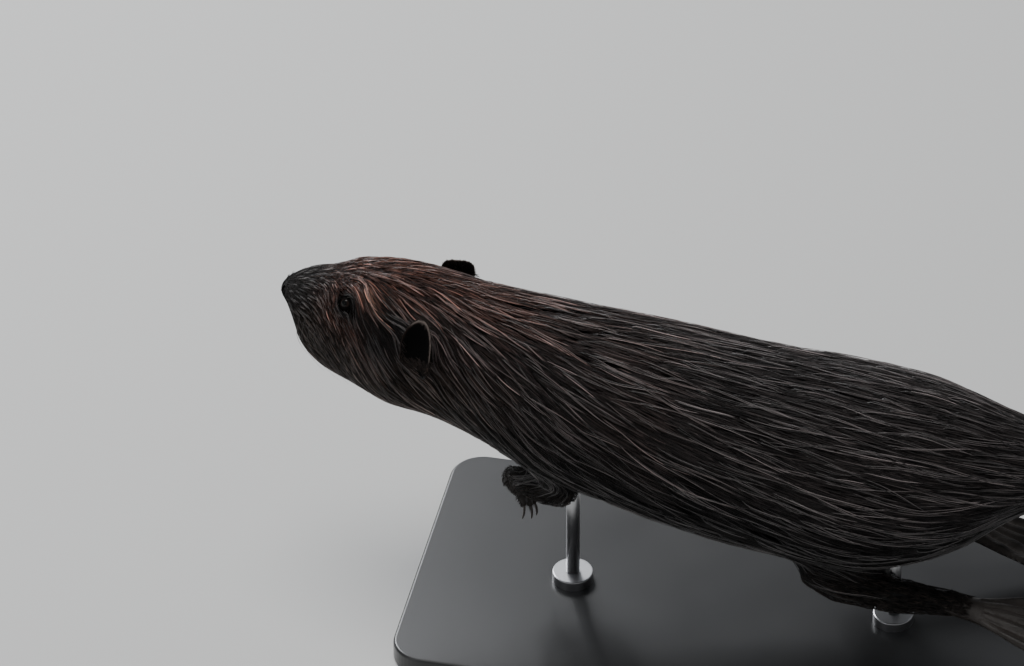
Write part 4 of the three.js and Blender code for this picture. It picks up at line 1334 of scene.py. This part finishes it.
def scattered(chosen, count):
    """Places on the skin, spread by area over the triangles whose corners are all chosen."""
    corners = skin_at[skin_corners[chosen[skin_corners].all(1)]]
    area = np.linalg.norm(np.cross(corners[:, 1] - corners[:, 0], corners[:, 2] - corners[:, 0]), axis=1)
    corners = corners[draw.choice(len(corners), count, p=area / area.sum())]
    share_of = draw.dirichlet((1, 1, 1), count)
    return on_skin((corners * share_of[..., None]).sum(1))[:2]


def coat_tufts(name, chosen, count, length, width, lift):
    """Tufts in the coat's own colour and lie, spread over the chosen part of the skin."""
    landed, outward = scattered(chosen, count)
    _, triangle, weights = on_form(landed)
    tint = felt(coat_tint, triangle, weights) * draw.lognormal(-0.2, 0.5, count)[:, None]
    tufts(name, landed, outward, felt(lie, triangle, weights), length, width, tint, lift)


pad_gap = from_nose_pad(skin_at)[0]
round_nose = (pad_gap > 0.3 * MM) & (pad_gap < 13 * MM) & (skin_at[:, 0] < nose_front + 24 * MM)
NOSE_TUFTS = 1600
coat_tufts("nose_fur", round_nose, NOSE_TUFTS, 4.2 * MM, 0.55 * MM, 0.24)

BACK_TUFTS, RIM_TUFTS, FOOT_TUFTS = 900, 450, 520  # on an ear
EAR_HAIR = (0.034, 0.024, 0.019)
RIM_HAIR = (0.040, 0.030, 0.025)


def up_ear(points, centre, axes):
    """The ways in which hair fans out over an ear from below its foot."""
    return ((points - centre) @ axes.T * (1.2, 1, 0) + (0, 12 * MM, 0)) @ axes


for node in ear_nodes:
    centre, axes, own_at = ear_frame(node)
    side = node.removeprefix("ear_")
    local = (skin_at - centre) @ axes.T
    facing = skin_out @ axes[2]
    to_edge = to_ear_edge(local, ear_outline(own_at))
    on_ear = (to_edge < 1.3) & (np.abs(local[:, 2]) < 14 * MM) & (local[:, 1] > -21 * MM)
    landed, outward = scattered(on_ear & (facing < -0.3), BACK_TUFTS)
    away = up_ear(landed, centre, axes)
    tufts("ear_hair_" + side, landed, outward, unit(away), 3 * MM, 0.5 * MM, EAR_HAIR, 0.26)
    landed, outward = scattered(on_ear & (np.abs(facing) < 0.7) & (local[:, 1] > -8 * MM), RIM_TUFTS)
    round_edge = np.cross(axes[2], up_ear(landed, centre, axes)) * -np.sign(axes[0, 0])
    tufts("ear_rim_" + side, landed, outward, unit(round_edge), 2.2 * MM, 0.3 * MM, RIM_HAIR, 0.2)
    front_edge = (local[:, 0] * np.sign(axes[0, 0]) < 0) & (to_edge > 0.85) & (local[:, 1] < 7 * MM)
    front_edge &= facing > 0
    at_foot = on_ear & (to_edge < 1.1) & (front_edge | (local[:, 1] < -8 * MM))
    coat_tufts("ear_foot_" + side, at_foot, FOOT_TUFTS, 6.5 * MM, 0.8 * MM, 0.2)

for group, toes_way, upper_way, count in (
    ("forepaw", (-0.3, 0, -1), (-0.9, 0, 0.4), 800),
    ("hindfoot", (1, 0, -0.1), (0, 0, 1), 400),
):
    for side in ("left", "right"):
        near_foot = distance_to([f"{group}_{side}"], skin_at) < 5 * MM
        near_foot &= skin_out @ unit(np.array(upper_way)) > -0.2
        near_foot &= (skin_at[:, 0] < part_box(f"{group}_{side}")[0].x + 22 * MM) | (group == "forepaw")
        landed, outward = scattered(near_foot, count)
        way = np.broadcast_to(np.array(toes_way, float), landed.shape)
        tufts(f"{group}_hair_{side}", landed, outward, way, 5 * MM, 0.5 * MM, LEG, 0.3)

# ---- The whiskers ------------------------------------------------------------------------------
# Stiff tapering bristles in rows on the lip pads, and a few over each eye, swept back by the water.
whisker_finish, tree, surface = shader("whisker", (0.035, 0.028, 0.024), 0.35)
tree.links.new(ranged(tree, noise(tree, 300.0), 0.3, 0.5), surface.inputs["Roughness"])
WHISKER_THICK = 0.45 * MM
WHISKER_ROWS, IN_ROW = 4, 4  # on a lip pad
OVER_EYE, OVER_EYE_LONG = 2, 10 * MM


def bristles(name, roots, outward, way, lengths, rings=9, sides=4):
    """Whiskers from their roots, bent along way, thinning to their tips."""
    t = np.linspace(0, 1, rings)[None, :, None]
    first = unit(outward * 0.9 + way * 0.6)
    line = roots[:, None] - outward[:, None] * MM + lengths[:, None, None] * (
        t * first[:, None] + 0.5 * t**2 * (way - 0.55 * outward)[:, None])
    ahead_of = unit(np.gradient(line, axis=1))
    aside_of = unit(np.cross(ahead_of, (0, 0, 1.0)))
    over = np.cross(aside_of, ahead_of)
    radius = 0.5 * WHISKER_THICK * (1 - 0.75 * t)
    angles = (2 * np.pi * np.arange(sides) / sides)[:, None]
    spokes = np.cos(angles) * aside_of[:, :, None] + np.sin(angles) * over[:, :, None]
    bm = bmesh.new()
    for hair in line[:, :, None] + radius[..., None] * spokes:
        tube(bm, hair)
    bmesh.ops.recalc_face_normals(bm, faces=bm.faces)
    new_piece(closed(bm, name), whisker_finish)


for side, hand in (("left", -1), ("right", 1)):
    spots, lengths = [], []
    for row in range(WHISKER_ROWS):
        for place in range(IN_ROW):
            spots.append(nose_at + np.array((14 + 6 * place, 26 * hand, -7 - 4 * row - place)) * MM)
            lengths.append((30 + 7 * place + draw.uniform(-4, 4)) * MM)
    for k in range(OVER_EYE):
        spots.append(eyes_at[side] + np.array((5 * k - 2, 2 * hand, 13)) * MM)
        lengths.append(OVER_EYE_LONG)
    landed, outward, _ = on_skin(np.array(spots))
    way = np.broadcast_to(unit(np.array((1.0, 0, -0.45))), landed.shape)
    bristles("whiskers_" + side, landed, outward, way, np.array(lengths))

# ---- The room ----------------------------------------------------------------------------------
# A plain pale floor in soft studio light. The camera looks down from in front and to the left.
FLOOR_HALF = 300
bm = bmesh.new()
bmesh.ops.create_grid(bm, x_segments=1, y_segments=1, size=FLOOR_HALF)
floor = set_out("floor", closed(bm, "floor"))
floor.data.materials.append(shader("pale floor", (0.62, 0.62, 0.61), 0.6)[0])
floor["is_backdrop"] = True

AZIMUTH, ELEVATION = math.radians(12), math.radians(38)
DISTANCE = 9.0
WIDE = 0.891  # what the frame's width covers at the nose
TO_SIDE, BELOW = 0.201, 0.0418  # from the nose to the frame's middle
level = math.cos(ELEVATION)
back = Vector((math.sin(AZIMUTH) * level, -math.cos(AZIMUTH) * level, math.sin(ELEVATION)))
right = Vector((math.cos(AZIMUTH), math.sin(AZIMUTH), 0))
tip = Vector((nose_front, nose_at[1], nose_at[2]))
target = tip + right * TO_SIDE - back.cross(right) * BELOW
camera = set_out("camera", bpy.data.cameras.new("camera"))
camera.data.sensor_width = 36
camera.data.lens = camera.data.sensor_width * DISTANCE / WIDE
camera.data.clip_end = 100
camera.location = target + back * DISTANCE
camera.rotation_euler = back.to_track_quat("Z", "Y").to_euler()
bpy.context.scene.camera = camera


def soft_light(name, place, size, power, colour=(1, 1, 1)):
    """A large lamp that faces the animal."""
    light = bpy.data.lights.new(name, "AREA")
    light.shape = "RECTANGLE"
    light.size, light.size_y = size
    light.energy, light.color = power, colour
    lamp = set_out(name, light)
    lamp.location = place
    lamp.rotation_euler = (Vector(place) - Vector((0, 0, 0.2))).to_track_quat("Z", "Y").to_euler()


soft_light("far window", (-2.2, 2.5, 2.6), (2.0, 1.3), 125, (0.95, 0.97, 1.0))
soft_light("overhead", (-0.8, 0.2, 3.6), (1.8, 1.8), 60, (1.0, 0.98, 0.95))
soft_light("near fill", (-2.6, -3.2, 1.6), (2.0, 2.0), 8)
room = bpy.data.worlds.new("room")
room.use_nodes = True
sky = room.node_tree.nodes["Background"]
SKY_STRENGTH = 0.34
sky.inputs["Strength"].default_value = SKY_STRENGTH
direction = add_node(room.node_tree, "ShaderNodeTexCoord").outputs["Generated"]
upward = add_node(room.node_tree, "ShaderNodeSeparateXYZ", {0: direction}).outputs["Z"]
dome = ramp(room.node_tree, upward, (0.02, (0.50, 0.50, 0.50)), (0.3, (0.80, 0.83, 0.87)))
room.node_tree.links.new(dome, sky.inputs["Color"])
bpy.context.scene.world = room

corners = {"cad": cad_box, "scene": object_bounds()}
